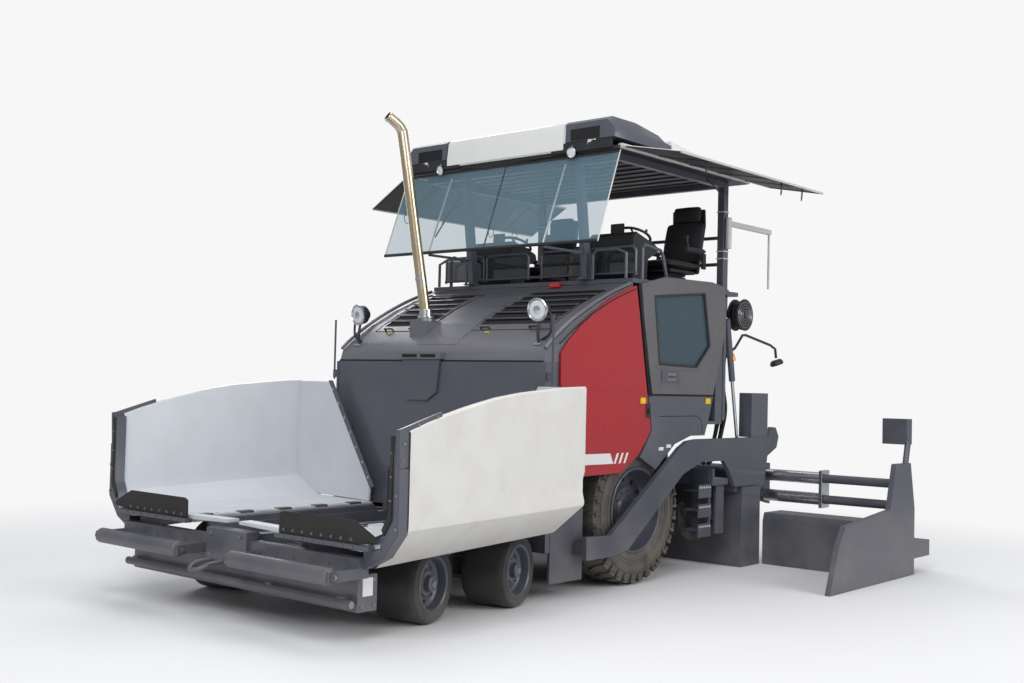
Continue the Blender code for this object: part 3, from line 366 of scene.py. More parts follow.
def arc(centre, radius, start, end, steps=8):
    """Points of an arc in a flat outline, between two angles in degrees."""
    return [(centre[0] + radius * math.cos(math.radians(start + (end - start) * i / steps)),
             centre[1] + radius * math.sin(math.radians(start + (end - start) * i / steps)))
            for i in range(steps + 1)]


class Bench:
    """Collects shapes of several materials, then makes them one piece."""

    def __init__(self, side=1):
        self.bm = bmesh.new()
        self.side = side
        self.kinds = []

    def _paint(self, faces, kind):
        if kind not in self.kinds:
            self.kinds.append(kind)
        for face in faces:
            face.material_index = self.kinds.index(kind)
            face.smooth = True

    def _edges(self, faces, width, segments=2):
        if width:
            edges = {edge for face in faces for edge in face.edges}
            verts = {vert for face in faces for vert in face.verts}
            sharp = [e for e in edges if len(e.link_faces) == 2 and e.calc_face_angle(0) > 0.6]
            index = faces[0].material_index
            made = bmesh.ops.bevel(self.bm, geom=sharp, offset=width, segments=segments, affect="EDGES",
                                   clamp_overlap=True)
            for face in made["faces"]:
                face.material_index = index
                face.smooth = True

    def box(self, x, y, z, kind, edge=0.003):
        spans = [(min(p), max(p)) for p in ((self.side * x[0], self.side * x[1]), y, z)]
        made = bmesh.ops.create_cube(self.bm, size=1.0)["verts"]
        bmesh.ops.scale(self.bm, vec=[h - l for l, h in spans], verts=made)
        bmesh.ops.translate(self.bm, vec=[(h + l) / 2 for l, h in spans], verts=made)
        faces = list({face for vert in made for face in vert.link_faces})
        self._paint(faces, kind)
        self._edges(faces, min(edge, min(h - l for l, h in spans) * 0.3))
        return self

    def bar(self, start, end, radius, kind, sides=12, tip=None, edge=0.0):
        """A cylinder or cone between two points."""
        start, end = self._at(start), self._at(end)
        made = bmesh.ops.create_cone(self.bm, cap_ends=True, segments=sides, radius1=radius,
                                     radius2=radius if tip is None else tip, depth=(end - start).length)["verts"]
        turn = (end - start).to_track_quat("Z", "Y").to_matrix().to_4x4()
        bmesh.ops.transform(self.bm, matrix=Matrix.Translation((start + end) / 2) @ turn, verts=made)
        faces = list({face for vert in made for face in vert.link_faces})
        self._paint(faces, kind)
        self._edges(faces, edge)
        return self

    def _at(self, point):
        return Vector((self.side * point[0], point[1], point[2]))

    def bolt(self, place, way, size, kind="bolt", washer=True):
        """A hexagon head on its washer, standing on a face whose outward way is given."""
        way = Vector(way).normalized()
        place = Vector(place)
        if washer:
            self.bar(place - way * size * 0.2, place + way * size * 0.2, size * 1.1, kind, 16)
        return self.bar(place, place + way * size * 0.85, size * 0.85, kind, 6, size * 0.78)

    def plate(self, axis, outline, start, end, kind, edge=0.003):
        """A flat outline as thick as from start to end along the axis."""
        start, end = sorted((start, end))
        if axis == "x" and self.side < 0:
            start, end = -end, -start
        if axis != "x" and self.side < 0:
            outline = [(-u, v) for u, v in outline]
        shift = Vector([0.0, 0.0, 0.0])
        shift[{"x": 0, "y": 1, "z": 2}[axis]] = 1.0
        turn = PLANES[axis]
        near = [self.bm.verts.new(turn @ Vector((u, v, 0)) + shift * start) for u, v in outline]
        far = [self.bm.verts.new(turn @ Vector((u, v, 0)) + shift * end) for u, v in outline]
        faces = [self.bm.faces.new(near), self.bm.faces.new(far)]
        for i in range(len(outline)):
            j = (i + 1) % len(outline)
            faces.append(self.bm.faces.new((near[i], near[j], far[j], far[i])))
        bmesh.ops.recalc_face_normals(self.bm, faces=faces)
        self._paint(faces, kind)
        self._edges(faces, edge)
        return self

    def tube(self, points, radius, kind, sides=10, smooth=True, closed=False):
        """A round bar or hose along a path."""
        path = smooth_path(points) if smooth else [Vector(p) for p in points]
        path = [self._at(p) for p in path]
        rings = []
        side = None
        for i, place in enumerate(path):
            ahead = (path[min(i + 1, len(path) - 1)] - path[max(i - 1, 0)]).normalized()
            if side is None:
                side = ahead.orthogonal().normalized()
            side = (side - ahead * side.dot(ahead)).normalized()
            other = ahead.cross(side)
            rings.append([self.bm.verts.new(place + radius * (side * math.cos(a) + other * math.sin(a)))
                          for a in (2 * math.pi * k / sides for k in range(sides))])
        faces = []
        for near, far in zip(rings, rings[1:]):
            for k in range(sides):
                m = (k + 1) % sides
                faces.append(self.bm.faces.new((near[k], near[m], far[m], far[k])))
        faces.append(self.bm.faces.new(list(reversed(rings[0]))))
        faces.append(self.bm.faces.new(rings[-1]))
        self._paint(faces, kind)
        return self

    def lathe(self, profile, centre, way, kind, sides=32):
        """A closed profile of (along, radius) turned about an axis through centre."""
        way = Vector(way).normalized()
        across = way.orthogonal().normalized()
        other = way.cross(across)
        centre = Vector(centre)
        rings = []
        for along, radius in profile:
            rings.append([self.bm.verts.new(centre + way * along + max(radius, 0.0004)
                                            * (across * math.cos(a) + other * math.sin(a)))
                          for a in (2 * math.pi * k / sides for k in range(sides))])
        faces = []
        for near, far in zip(rings, rings[1:]):
            for k in range(sides):
                m = (k + 1) % sides
                faces.append(self.bm.faces.new((near[k], near[m], far[m], far[k])))
        if profile[0] != profile[-1]:
            faces += [self.bm.faces.new(rings[0]), self.bm.faces.new(rings[-1])]
        bmesh.ops.recalc_face_normals(self.bm, faces=faces)
        self._paint(faces, kind)
        return self

    def make(self, name, body, *replaced):
        bmesh.ops.remove_doubles(self.bm, verts=self.bm.verts, dist=0.00001)
        bmesh.ops.translate(self.bm, vec=(0, ORIGIN_Y, 0), verts=self.bm.verts)
        mesh = bpy.data.meshes.new(name)
        self.bm.to_mesh(mesh)
        self.bm.free()
        for kind in self.kinds:
            mesh.materials.append(MAT[kind])
        mesh.set_sharp_from_angle(angle=math.radians(38))
        made = bpy.data.objects.new(name, mesh)
        bpy.context.scene.collection.objects.link(made)
        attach(made, body)
        if replaced:
            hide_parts(*replaced)
        return made


# ---------------------------------------------------------------- wheels
STEER_REST = math.radians(14.5)


def middle(node):
    return (low(node) + high(node)) / 2


def front_wheels():
    """Smooth solid tyres with a moulded shoulder, on dished rims with a ring of studs."""
    for label, side in SIDES:
        for number in (1, 2):
            node = f"front_wheel_{label}_{number}"
            centre = middle(node)
            radius = (high(node).z - low(node).z) / 2
            way = Vector((math.cos(STEER_REST), math.sin(STEER_REST), 0)) * side
            half, rim = 0.19, radius * 0.70
            bench = Bench()
            tyre = [(-half, rim), (-half - 0.0005, radius * 0.80), (-half + 0.004, radius * 0.88),
                    (-half + 0.012, radius * 0.95), (-half + 0.035, radius * 0.992), (-half + 0.06, radius),
                    (half - 0.06, radius), (half - 0.035, radius * 0.992), (half - 0.012, radius * 0.95),
                    (half - 0.004, radius * 0.88), (half - 0.004, radius * 0.80), (half - 0.012, rim)]
            bench.lathe(tyre + [tyre[0]], centre, way, "tyre", 56)
            dish = [(half - 0.010, rim + 0.004), (half - 0.006, rim - 0.006), (half - 0.014, rim - 0.016),
                    (half - 0.075, rim - 0.028), (half - 0.090, rim - 0.050), (half - 0.080, 0.100),
                    (half - 0.062, 0.088), (half - 0.060, 0.060), (half - 0.020, 0.055), (half - 0.014, 0.046),
                    (half - 0.014, 0.0), (-half + 0.06, 0.0), (-half + 0.05, rim - 0.03), (-half + 0.01, rim - 0.01),
                    (-half + 0.01, rim + 0.004)]
            bench.lathe(dish + [dish[0]], centre, way, "body", 48)
            bench.lathe([(half - 0.016, 0.030), (half - 0.004, 0.026), (half - 0.003, 0.0)], centre, way, "bolt", 24)
            across = Vector((0, 0, 1))
            other = way.cross(across)
            for i in range(8):
                angle = 2 * math.pi * i / 8
                spot = centre + way * (half - 0.078) + (across * math.cos(angle) + other * math.sin(angle)) * 0.125
                bench.bolt(spot, way, 0.013)
            bench.make("detail_" + node, f"wheel_front_{label}_{number}", node)


def rear_wheels():
    """Wide traction tyres with staggered lugs, and a deep rim with its bolt ring."""
    for label, side in SIDES:
        node = "rear_wheel_" + label
        centre = middle(node)
        radius = (high(node).z - low(node).z) / 2
        way = Vector((side, 0, 0))
        half, rim, base = 0.22, 0.358, radius - 0.022
        bench = Bench()
        carcass = [(-half + 0.03, rim), (-half + 0.004, rim + 0.05), (-half, rim + 0.12), (-half + 0.006, base - 0.08),
                   (-half + 0.03, base - 0.015), (-half + 0.06, base), (half - 0.06, base), (half - 0.03, base - 0.015),
                   (half - 0.006, base - 0.08), (half - 0.001, rim + 0.12), (half - 0.006, rim + 0.05),
                   (half - 0.03, rim)]
        bench.lathe(carcass + [carcass[0]], centre, way, "tread", 72)
        for ridge in (0.075, 0.105, 0.175):
            spot = rim + ridge
            ring = [(half - 0.012, spot - 0.006), (half + 0.0015, spot - 0.003), (half + 0.0015, spot + 0.003),
                    (half - 0.012, spot + 0.006)]
            bench.lathe(ring + ring[:1], centre, way, "tread", 72)
        lugs = 34
        for i in range(lugs):
            for row, (start, end) in enumerate(((-half + 0.012, -0.075), (-0.072, 0.0), (0.003, 0.075),
                                                (0.078, half - 0.012))):
                turn = 2 * math.pi * (i + (0.5 if row % 2 else 0.0)) / lugs
                slant = 0.035 * (1 if row < 2 else -1)
                width = 2 * math.pi / lugs * 0.34
                corners = []
                for r in (base - 0.012, radius):
                    for x, shift in ((start, -slant), (end, slant)):
                        for edge in (-width, width):
                            a = turn + shift + edge * (1.0 if r < radius else 0.86)
                            drop = 0.014 if r == radius and abs(x) > half - 0.03 else 0.0
                            corners.append(centre + way * x
                                           + Vector((0, math.cos(a), math.sin(a))) * (r - drop))
                verts = [bench.bm.verts.new(c) for c in corners]
                faces = [bench.bm.faces.new([verts[k] for k in quad]) for quad in
                         ((0, 1, 3, 2), (4, 6, 7, 5), (0, 4, 5, 1), (2, 3, 7, 6), (0, 2, 6, 4), (1, 5, 7, 3))]
                bmesh.ops.recalc_face_normals(bench.bm, faces=faces)
                bench._paint(faces, "tread")
            shoulder = 2 * math.pi * i / lugs
            for x in (half - 0.004, -half + 0.004):
                ray = Vector((0, math.cos(shoulder), math.sin(shoulder)))
                bench.bar(centre + way * x + ray * (base - 0.075), centre + way * x + ray * (base - 0.012),
                          0.013, "tread", 6, 0.016)
        dish = [(half - 0.028, rim + 0.004), (half - 0.012, rim + 0.012), (half - 0.006, rim + 0.004),
                (half - 0.012, rim - 0.010), (half - 0.050, rim - 0.022), (half - 0.135, rim - 0.045),
                (half - 0.160, rim - 0.065), (half - 0.165, 0.215), (half - 0.115, 0.195), (half - 0.108, 0.150),
                (half - 0.085, 0.135), (half - 0.080, 0.07), (half - 0.080, 0.0), (-half + 0.10, 0.0),
                (-half + 0.10, rim - 0.05), (-half + 0.03, rim - 0.01), (-half + 0.03, rim + 0.004)]
        bench.lathe(dish + [dish[0]], centre, way, "body", 64)
        for i in range(12):
            angle = 2 * math.pi * i / 12
            ray = Vector((0, math.cos(angle), math.sin(angle)))
            bench.bolt(centre + way * (half - 0.112) + ray * 0.172, way, 0.014)
            # Painted shade: thin near-black discs stand for the shade seen through the rim's holes.
            bench.bar(centre + way * (half - 0.163) + ray * 0.255, centre + way * (half - 0.158) + ray * 0.255,
                      0.021, "dark_and_painted_shade", 16)
        for i in range(6):
            angle = 2 * math.pi * i / 6
            bench.bolt(centre + way * (half - 0.082) + Vector((0, math.cos(angle), math.sin(angle))) * 0.095, way, 0.010)
        bench.make("detail_" + node, "wheel_rear_" + label, node)


# ---------------------------------------------------------------- hopper and front
WING_OUTER, WING_FRONT, WING_REAR = 1.68, -2.60, -0.77
WING_TOP = ((WING_FRONT, 1.385), (-2.45, 1.435), (-2.29, 1.48), (-2.03, 1.545), (-1.77, 1.60), (-1.50, 1.638),
            (-1.20, 1.665), (-0.98, 1.682), (WING_REAR, 1.69))


def wing_top(y):
    for (y0, z0), (y1, z1) in zip(WING_TOP, WING_TOP[1:]):
        if y <= y1:
            return z0 + (z1 - z0) * (y - y0) / (y1 - y0)
    return WING_TOP[-1][1]


def hopper_wings():
    """Folded hopper halves: outer sheet with its pressed crease, inner lining, end wall,
    hinged floor, rubber flap and bolted strips."""
    for label, side in SIDES:
        bench = Bench(side)
        bm = bench.bm
        outer, inner = [], []
        for i in range(25):
            y = WING_FRONT + (WING_REAR - WING_FRONT) * i / 24
            share = (y - WING_FRONT) / (WING_REAR - WING_FRONT)
            knee, skirt = 0.755 + 0.055 * share, 0.487 + 0.088 * share
            top = wing_top(y)
            crease = 1.135 - 0.10 * (y + 1.673) if y > -1.673 else 1.135
            depth = 0.018 * max(0.0, min(1.0, (y + 1.72) / 0.06))
            outer.append([(1.632, y, top + 0.006), (1.664, y, top + 0.008), (WING_OUTER, y, top - 0.004),
                          (WING_OUTER, y, crease + 0.02), (WING_OUTER - depth, y, crease - 0.04),
                          (WING_OUTER - depth, y, knee + 0.10), (WING_OUTER, y, knee + 0.03),
                          (WING_OUTER - 0.004, y, knee), (1.40, y, skirt + 0.012), (1.372, y, skirt), (1.345, y, skirt)])
            inner.append([(1.632, y, top + 0.006), (1.626, y, top - 0.02), (1.622, y, knee + 0.10),
                          (1.600, y, knee + 0.02), (1.345, y, 0.682), (1.30, y, 0.664), (0.628, y, 0.652)])
        for rows, kind, flip in ((outer, "white", side > 0), (inner, "inner", side < 0)):
            grid = [[bm.verts.new(bench._at(p)) for p in row] for row in rows]
            faces = []
            for near, far in zip(grid, grid[1:]):
                for k in range(len(near) - 1):
                    quad = (near[k], near[k + 1], far[k + 1], far[k])
                    faces.append(bm.faces.new(quad if flip else quad[::-1]))
            bench._paint(faces, kind)
        # Underside, floor edge and end wall close the shell.
        bench.box((0.628, 1.36), (WING_FRONT, WING_REAR), (0.603, 0.652), "white")
        bench.plate("x", [(WING_FRONT, 0.487), (WING_REAR, 0.575), (WING_REAR, 0.64), (WING_FRONT, 0.64)], 1.337, 1.352,
                    "white")
        end_wall = [(0.66, 0.655), (1.335, 0.675), (1.60, 0.83), (1.628, 0.90), (1.628, 1.688), (1.225, 1.688),
                    (0.645, 0.80)]
        bench.plate("y", end_wall, WING_REAR - 0.022, WING_REAR + 0.002, "inner")
        strip = [(1.225, 1.70), (1.165, 1.70), (0.585, 0.79), (0.640, 0.77)]
        bench.plate("y", strip, WING_REAR - 0.030, WING_REAR - 0.0225, "body")
        for i in range(7):
            t = (i + 0.5) / 7
            spot = (0.615 + (1.196 - 0.615) * t, WING_REAR - 0.030, 0.80 + 0.885 * t)
            bench.bolt(spot, (0, -1, 0), 0.011, "steel")
        # Floor hinge in segments along the frame.
        for i in range(9):
            y = WING_FRONT + 0.05 + i * (WING_REAR - WING_FRONT - 0.12) / 9
            bench.box((0.628, 0.70), (y, y + 0.13), (0.650, 0.660), "inner" if i % 2 else "frame")
            bench.bar((0.640, y, 0.648), (0.640, y + 0.13, 0.648), 0.014, "inner" if i % 2 else "frame", 10)
        front_of_wing(bench, side)
        bench.make("detail_hopper_wing_" + label, "wing_" + label, "hopper_wing_" + label)


def front_of_wing(bench, side):
    """The wing's front edge: upright channel with its rubber, lip plate, flap and angle bar."""
    face = WING_FRONT - 0.10
    post = [(1.545, 0.577), (1.672, 0.735), (1.672, 1.150), (1.650, 1.165), (1.630, 1.372), (1.600, 1.372),
            (1.600, 0.860), (1.530, 0.720), (1.36, 0.630), (1.36, 0.487)]
    bench.plate("y", post, face + 0.012, WING_FRONT + 0.004, "body")
    rubber = [(1.555, 0.72), (1.625, 0.83), (1.625, 1.36), (1.598, 1.36), (1.590, 0.86), (1.535, 0.76)]
    bench.plate("y", rubber, face - 0.001, face + 0.0115, "rubber")
    for z in (0.95, 1.10, 1.25):
        bench.bolt((1.612, face - 0.001, z), (0, -1, 0), 0.008)
    cap = [(WING_FRONT - 0.085, 1.15), (WING_FRONT - 0.095, 1.40), (WING_FRONT - 0.06, 1.405),
           (-2.30, 1.512), (-2.30, 1.468), (-2.50, 1.41), (-2.575, 1.35), (-2.60, 1.16)]
    bench.plate("x", cap, 1.640, 1.668, "body", 0.004)
    for y, z in ((-2.35, 1.478), (-2.52, 1.425), (-2.645, 1.31), (-2.655, 1.20)):
        bench.bolt((1.668, y, z), (1, 0, 0), 0.010)
    # Lip plate of the floor, with the rubber flap standing on its angle bar.
    lip = [(0.05 if side > 0 else 0.09, 0.655), (0.60, 0.640), (1.34, 0.600), (1.52, 0.640), (1.52, 0.668),
           (1.34, 0.645), (0.60, 0.672), (0.05 if side > 0 else 0.09, 0.680)]
    bench.plate("y", lip, face + 0.01, WING_FRONT + 0.02, "inner")
    flap = [(0.54, 0.650), (1.33, 0.648), (1.529, 0.676), (1.500, 0.712), (1.33, 0.790), (1.30, 0.802),
            (0.58, 0.800), (0.545, 0.785)]
    bench.plate("y", flap, face - 0.024, face - 0.006, "rubber", 0.005)
    bench.box((0.52, 1.47), (face - 0.045, face + 0.012), (0.618, 0.650), "body")
    bench.box((0.56, 1.34), (face - 0.006, face + 0.0), (0.655, 0.700), "body")
    for i in range(8):
        bench.bolt((0.60 + i * 0.098, face - 0.024, 0.678), (0, -1, 0), 0.010)
        bench.bolt((0.62 + i * 0.10, face - 0.045, 0.634), (0, -1, 0), 0.008, washer=False)
    for x in (0.72, 1.02, 1.28):
        bench.box((x, x + 0.05), (face - 0.006, WING_FRONT), (0.672, 0.684), "steel")
    for x, z in ((1.425, 0.654), (1.522, 0.625), (1.655, 0.771), (1.655, 0.983)):
        bench.bolt((x, face + 0.012, z), (0, -1, 0), 0.011)


def front_end():
    """Push rollers with their end caps, bumper bars, tow ring and conveyor slats."""
    for label, side in SIDES:
        node = "push_roller_" + label
        centre = middle(node)
        half = (high(node).x - low(node).x) / 2
        radius = (high(node).z - low(node).z) / 2 - 0.0006
        bench = Bench()
        profile = [(-half, 0.0), (-half, radius * 0.6), (-half + 0.006, radius - 0.008), (-half + 0.014, radius),
                   (half - 0.014, radius), (half - 0.006, radius - 0.008), (half, radius * 0.6), (half, 0.0)]
        bench.lathe(profile, centre, (1, 0, 0), "frame", 40)
        bench.make("detail_" + node, "roller_" + label, node)
    bench = Bench()
    beam = high("push_roller_left").y
    for side in (1, -1):
        for x in (0.279, 1.367):
            at = Vector((side * x, -2.938, 0.465))
            way = Vector((side if x > 1 else -side, 0, 0))
            bench.bar(at, at + way * 0.012, 0.036, "cast", 24, edge=0.003)
            bench.bolt(at + way * 0.012, way, 0.015)
        bench.bar((side * 1.2975, -2.725, 0.258), (side * 1.304, -2.725, 0.258), 0.024, "bolt", 20)
        bench.box((side * 1.3005, side * 1.303), (-2.63, -2.54), (0.30, 0.42), "stripe")
        for y in (-2.64, -2.53):
            for z in (0.235, 0.405):
                bench.bolt((side * 1.3005, y, z), (side, 0, 0), 0.010)
        for i in range(6):
            bench.bolt((side * (0.36 + i * 0.18), -2.7305, 0.50), (0, -1, 0), 0.011)
    ring = [(0.075 * math.cos(a), beam - 0.07 - 0.09 * max(0.0, math.sin(a)), 0.40 - 0.035 * math.sin(a))
            for a in (math.pi * i / 12 for i in range(13))]
    bench.tube([(-0.075, beam + 0.06, 0.41), *ring[::-1], (0.075, beam + 0.06, 0.41)], 0.017, "frame", 12)
    for x in (-0.17, 0.17):
        for z in (0.44, 0.58):
            bench.bolt((x, -2.7605, z), (0, -1, 0), 0.014)
    bench.make("detail_front_beam", "chassis")
    # Conveyor: two chains with slats between the hinges, running under the rear wall.
    bench = Bench()
    for side in (1, -1):
        for x in (0.07, 0.50):
            bench.box((side * x, side * (x + 0.012)), (-2.44, -0.75), (0.475, 0.505), "cast")
        for i in range(19):
            y = -2.42 + i * 0.09
            bench.box((side * 0.085, side * 0.50), (y, y + 0.022), (0.478, 0.500), "cast")
        bench.box((side * 0.075, side * 0.515), (-2.44, -0.75), (0.4705, 0.474), "steel")
        bench.box((side * 0.5205, side * 0.5745), (-2.46, -0.80), (0.5805, 0.5860), "frame")
    bench.box((-0.052, 0.052), (-2.48, -0.71), (0.5605, 0.572), "frame")
    bench.make("conveyor_slats", "chassis")


# ---------------------------------------------------------------- hood and front wall
HOOD_ARC = ((-0.66, 1.975), (-0.56, 2.06), (-0.33, 2.215), (-0.05, 2.365), (0.22, 2.485), (0.48, 2.575))


def hood_at(y):
    """Height of the hood's top and its outward way at y."""
    for (y0, z0), (y1, z1) in zip(HOOD_ARC, HOOD_ARC[1:]):
        if y <= y1:
            break
    share = (y - y0) / (y1 - y0)
    out = Vector((0, -(z1 - z0), y1 - y0)).normalized()
    return z0 + (z1 - z0) * share, out


def hood_details():
    """Louvred fields, raised centre ridge, gap line, lamps on brackets, sight rods, vents."""
    bench = Bench()
    for start, end in ((0.20, 0.98), (-0.98, -0.42)):
        rows = 6
        for i in range(rows):
            y0 = -0.34 + i * 0.115
            y1 = y0 + 0.075
            (z0, out0), (z1, out1) = hood_at(y0), hood_at(y1)
            skew = 0.035 * (1 if start > 0 else -1)
            # Each blade has a near-black sheet under it: painted shade in the gap between the blades.
            for lift, thick, kind, grow in ((0.0008, 0.002, "dark_and_painted_shade", 0.0), (0.016, 0.010, "hood", 0.012)):
                ya, yb = (y0, y1) if kind == "dark_and_painted_shade" else (y1 - 0.018, y1 + 0.016)
                (za, oa), (zb, ob) = hood_at(ya), hood_at(yb)
                a = Vector((0, ya, za)) + oa * lift
                b = Vector((0, yb, zb)) + ob * (lift * (0.2 if kind == "hood" else 1.0))
                ring = [a, b, b + ob * thick, a + oa * thick]
                verts = []
                for x in (start + skew * i * 0.3 - grow, end + skew * i * 0.3 + grow):
                    verts.append([bench.bm.verts.new(Vector((x, p.y, p.z))) for p in ring])
                near, far = verts
                faces = [bench.bm.faces.new(near), bench.bm.faces.new(far[::-1])]
                for k in range(4):
                    m = (k + 1) % 4
                    faces.append(bench.bm.faces.new((near[k], far[k], far[m], near[m])))
                bmesh.ops.recalc_face_normals(bench.bm, faces=faces)
                bench._paint(faces, kind)
        # Hatch edge round the field, with its handle and tag.
        for x in (start - 0.045, end + 0.045):
            bench.tube([(x, y, hood_at(y)[0] + 0.0015) for y in (-0.42, -0.30, -0.05, 0.15, 0.34)], 0.003, "dark_and_painted_shade", 6)
        for y in (-0.42, 0.34):
            z = hood_at(y)[0] + 0.0015
            bench.tube([(start - 0.045, y, z), (end + 0.045, y, z)], 0.003, "dark_and_painted_shade", 6, smooth=False)
        for x in (start + 0.12, end - 0.12):
            z, out = hood_at(-0.40)
            bench.tube([(x - 0.05, -0.40, z), (x - 0.045, -0.425, z + 0.012), (x + 0.045, -0.425, z + 0.012),
                        (x + 0.05, -0.40, z)], 0.008, "black", 8, smooth=False)
        z, out = hood_at(-0.455)
        bench.box((start + 0.16, start + 0.20), (-0.470, -0.445), (z - 0.004, z + 0.010), "yellow")
    # Satin ridge between the fields.
    ys = [-0.60 + i * 0.09 for i in range(12)]
    for near, far in zip(ys, ys[1:]):
        (za, oa), (zb, ob) = hood_at(near), hood_at(far)
        left, right = 0.17, -0.30
        top = [(left, near, za + 0.006), (left, far, zb + 0.006), (right, far, zb + 0.006), (right, near, za + 0.006)]
        under = [(x, y, z - 0.012) for x, y, z in top]
        a, b = ([bench.bm.verts.new(p) for p in ring] for ring in (top, under))
        faces = [bench.bm.faces.new(a), bench.bm.faces.new(b[::-1])]
        for k in range(4):
            m = (k + 1) % 4
            faces.append(bench.bm.faces.new((a[k], b[k], b[m], a[m])))
        bmesh.ops.recalc_face_normals(bench.bm, faces=faces)
        bench._paint(faces, "hood")
    # Black gap line between hood and wall, and the intake box with two slots.
    bench.box((-1.197, 1.197), (-0.697, -0.690), (1.880, 1.893), "dark_and_painted_shade")
    # The intake slots are near-black boxes: painted shade inside the openings.
    for x in (-0.34, -0.12):
        bench.box((x, x + 0.18), (-0.7412, -0.7395), (1.913, 1.941), "dark_and_painted_shade")
    bench.plate("y", [(-0.36, 1.90), (0.095, 1.90), (0.06, 1.62), (-0.05, 1.55), (-0.30, 1.55)], -0.722, -0.7005, "body")
    # Pipe socket and its clamp.
    bench.lathe([(0.0, 0.075), (0.012, 0.075), (0.016, 0.060), (0.075, 0.056), (0.080, 0.050)],
                (-0.40, -0.40, 2.272), (-0.02, -0.06, 1), "steel", 32)
    bench.bar((-0.345, -0.45, 2.31), (-0.325, -0.47, 2.31), 0.010, "bolt", 8)
    bench.lathe([(0.0, 0.034), (0.06, 0.034), (0.07, 0.026), (0.07, 0.0)], (-0.52, -0.36, 2.13), (0, -0.35, 1), "black", 24)
    for side in (1, -1):
        # Round work lamps on their stems.
        centre = Vector((side * 1.056, -0.606, 2.300))
        aim = Vector((side * 0.10, -1, -0.12)).normalized()
        bench.lathe([(-0.10, 0.0), (-0.10, 0.045), (-0.06, 0.082), (0.0, 0.092)], centre, aim, "black", 32)
        bench.lathe([(-0.004, 0.094), (0.014, 0.096), (0.020, 0.088), (0.012, 0.080)], centre, aim, "steel", 40)
        bench.lathe([(0.010, 0.082), (0.016, 0.055), (0.019, 0.0)], centre, aim, "lens", 32)
        bench.lathe([(0.0185, 0.034), (0.0215, 0.022), (0.0225, 0.0)], centre, aim, "steel", 24)
        bench.tube([(side * 1.056, -0.58, 2.02), (side * 1.056, -0.60, 2.10), (side * 1.056, -0.585, 2.215)],
                   0.012, "black", 10)
        bench.tube([(side * 1.106, -0.595, 2.30), (side * 1.150, -0.56, 2.26), (side * 1.150, -0.56, 2.12),
                    (side * 1.06, -0.56, 2.06)], 0.011, "black", 10)
        bench.box((side * 1.02, side * 1.10), (-0.62, -0.56), (2.020, 2.036), "steel")
        # Flat sight rods at the wall's corners.
        bench.box((side * 1.268, side * 1.290), (-0.685, -0.677), (1.715, 2.255), "body", 0.002)
        bench.box((side * 1.2225, side * 1.290), (-0.690, -0.685), (1.73, 1.80), "body", 0.002)
        bench.bolt((side * 1.255, -0.690, 1.765), (0, -1, 0), 0.008)
        # Folded edge trim of the front wall.
        bench.box((side * 1.196, side * 1.223), (-0.705, -0.7004), (0.66, 1.872), "body")
        for z in (1.05, 1.45, 1.80):
            bench.bolt((side * 1.14, -0.7005, z), (0, -1, 0), 0.009)
    bench.box((0.30, 0.42), (0.462, 0.500), (2.585, 2.625), "red_lens")
    bench.make("hood_details", "chassis")


# ---------------------------------------------------------------- canopy and screen
ROOF_BOTTOM = low("canopy_roof").z
ROOF_HALF = high("canopy_roof").x
AWNING_DROP = {1: math.radians(11.0), -1: math.radians(30.0)}


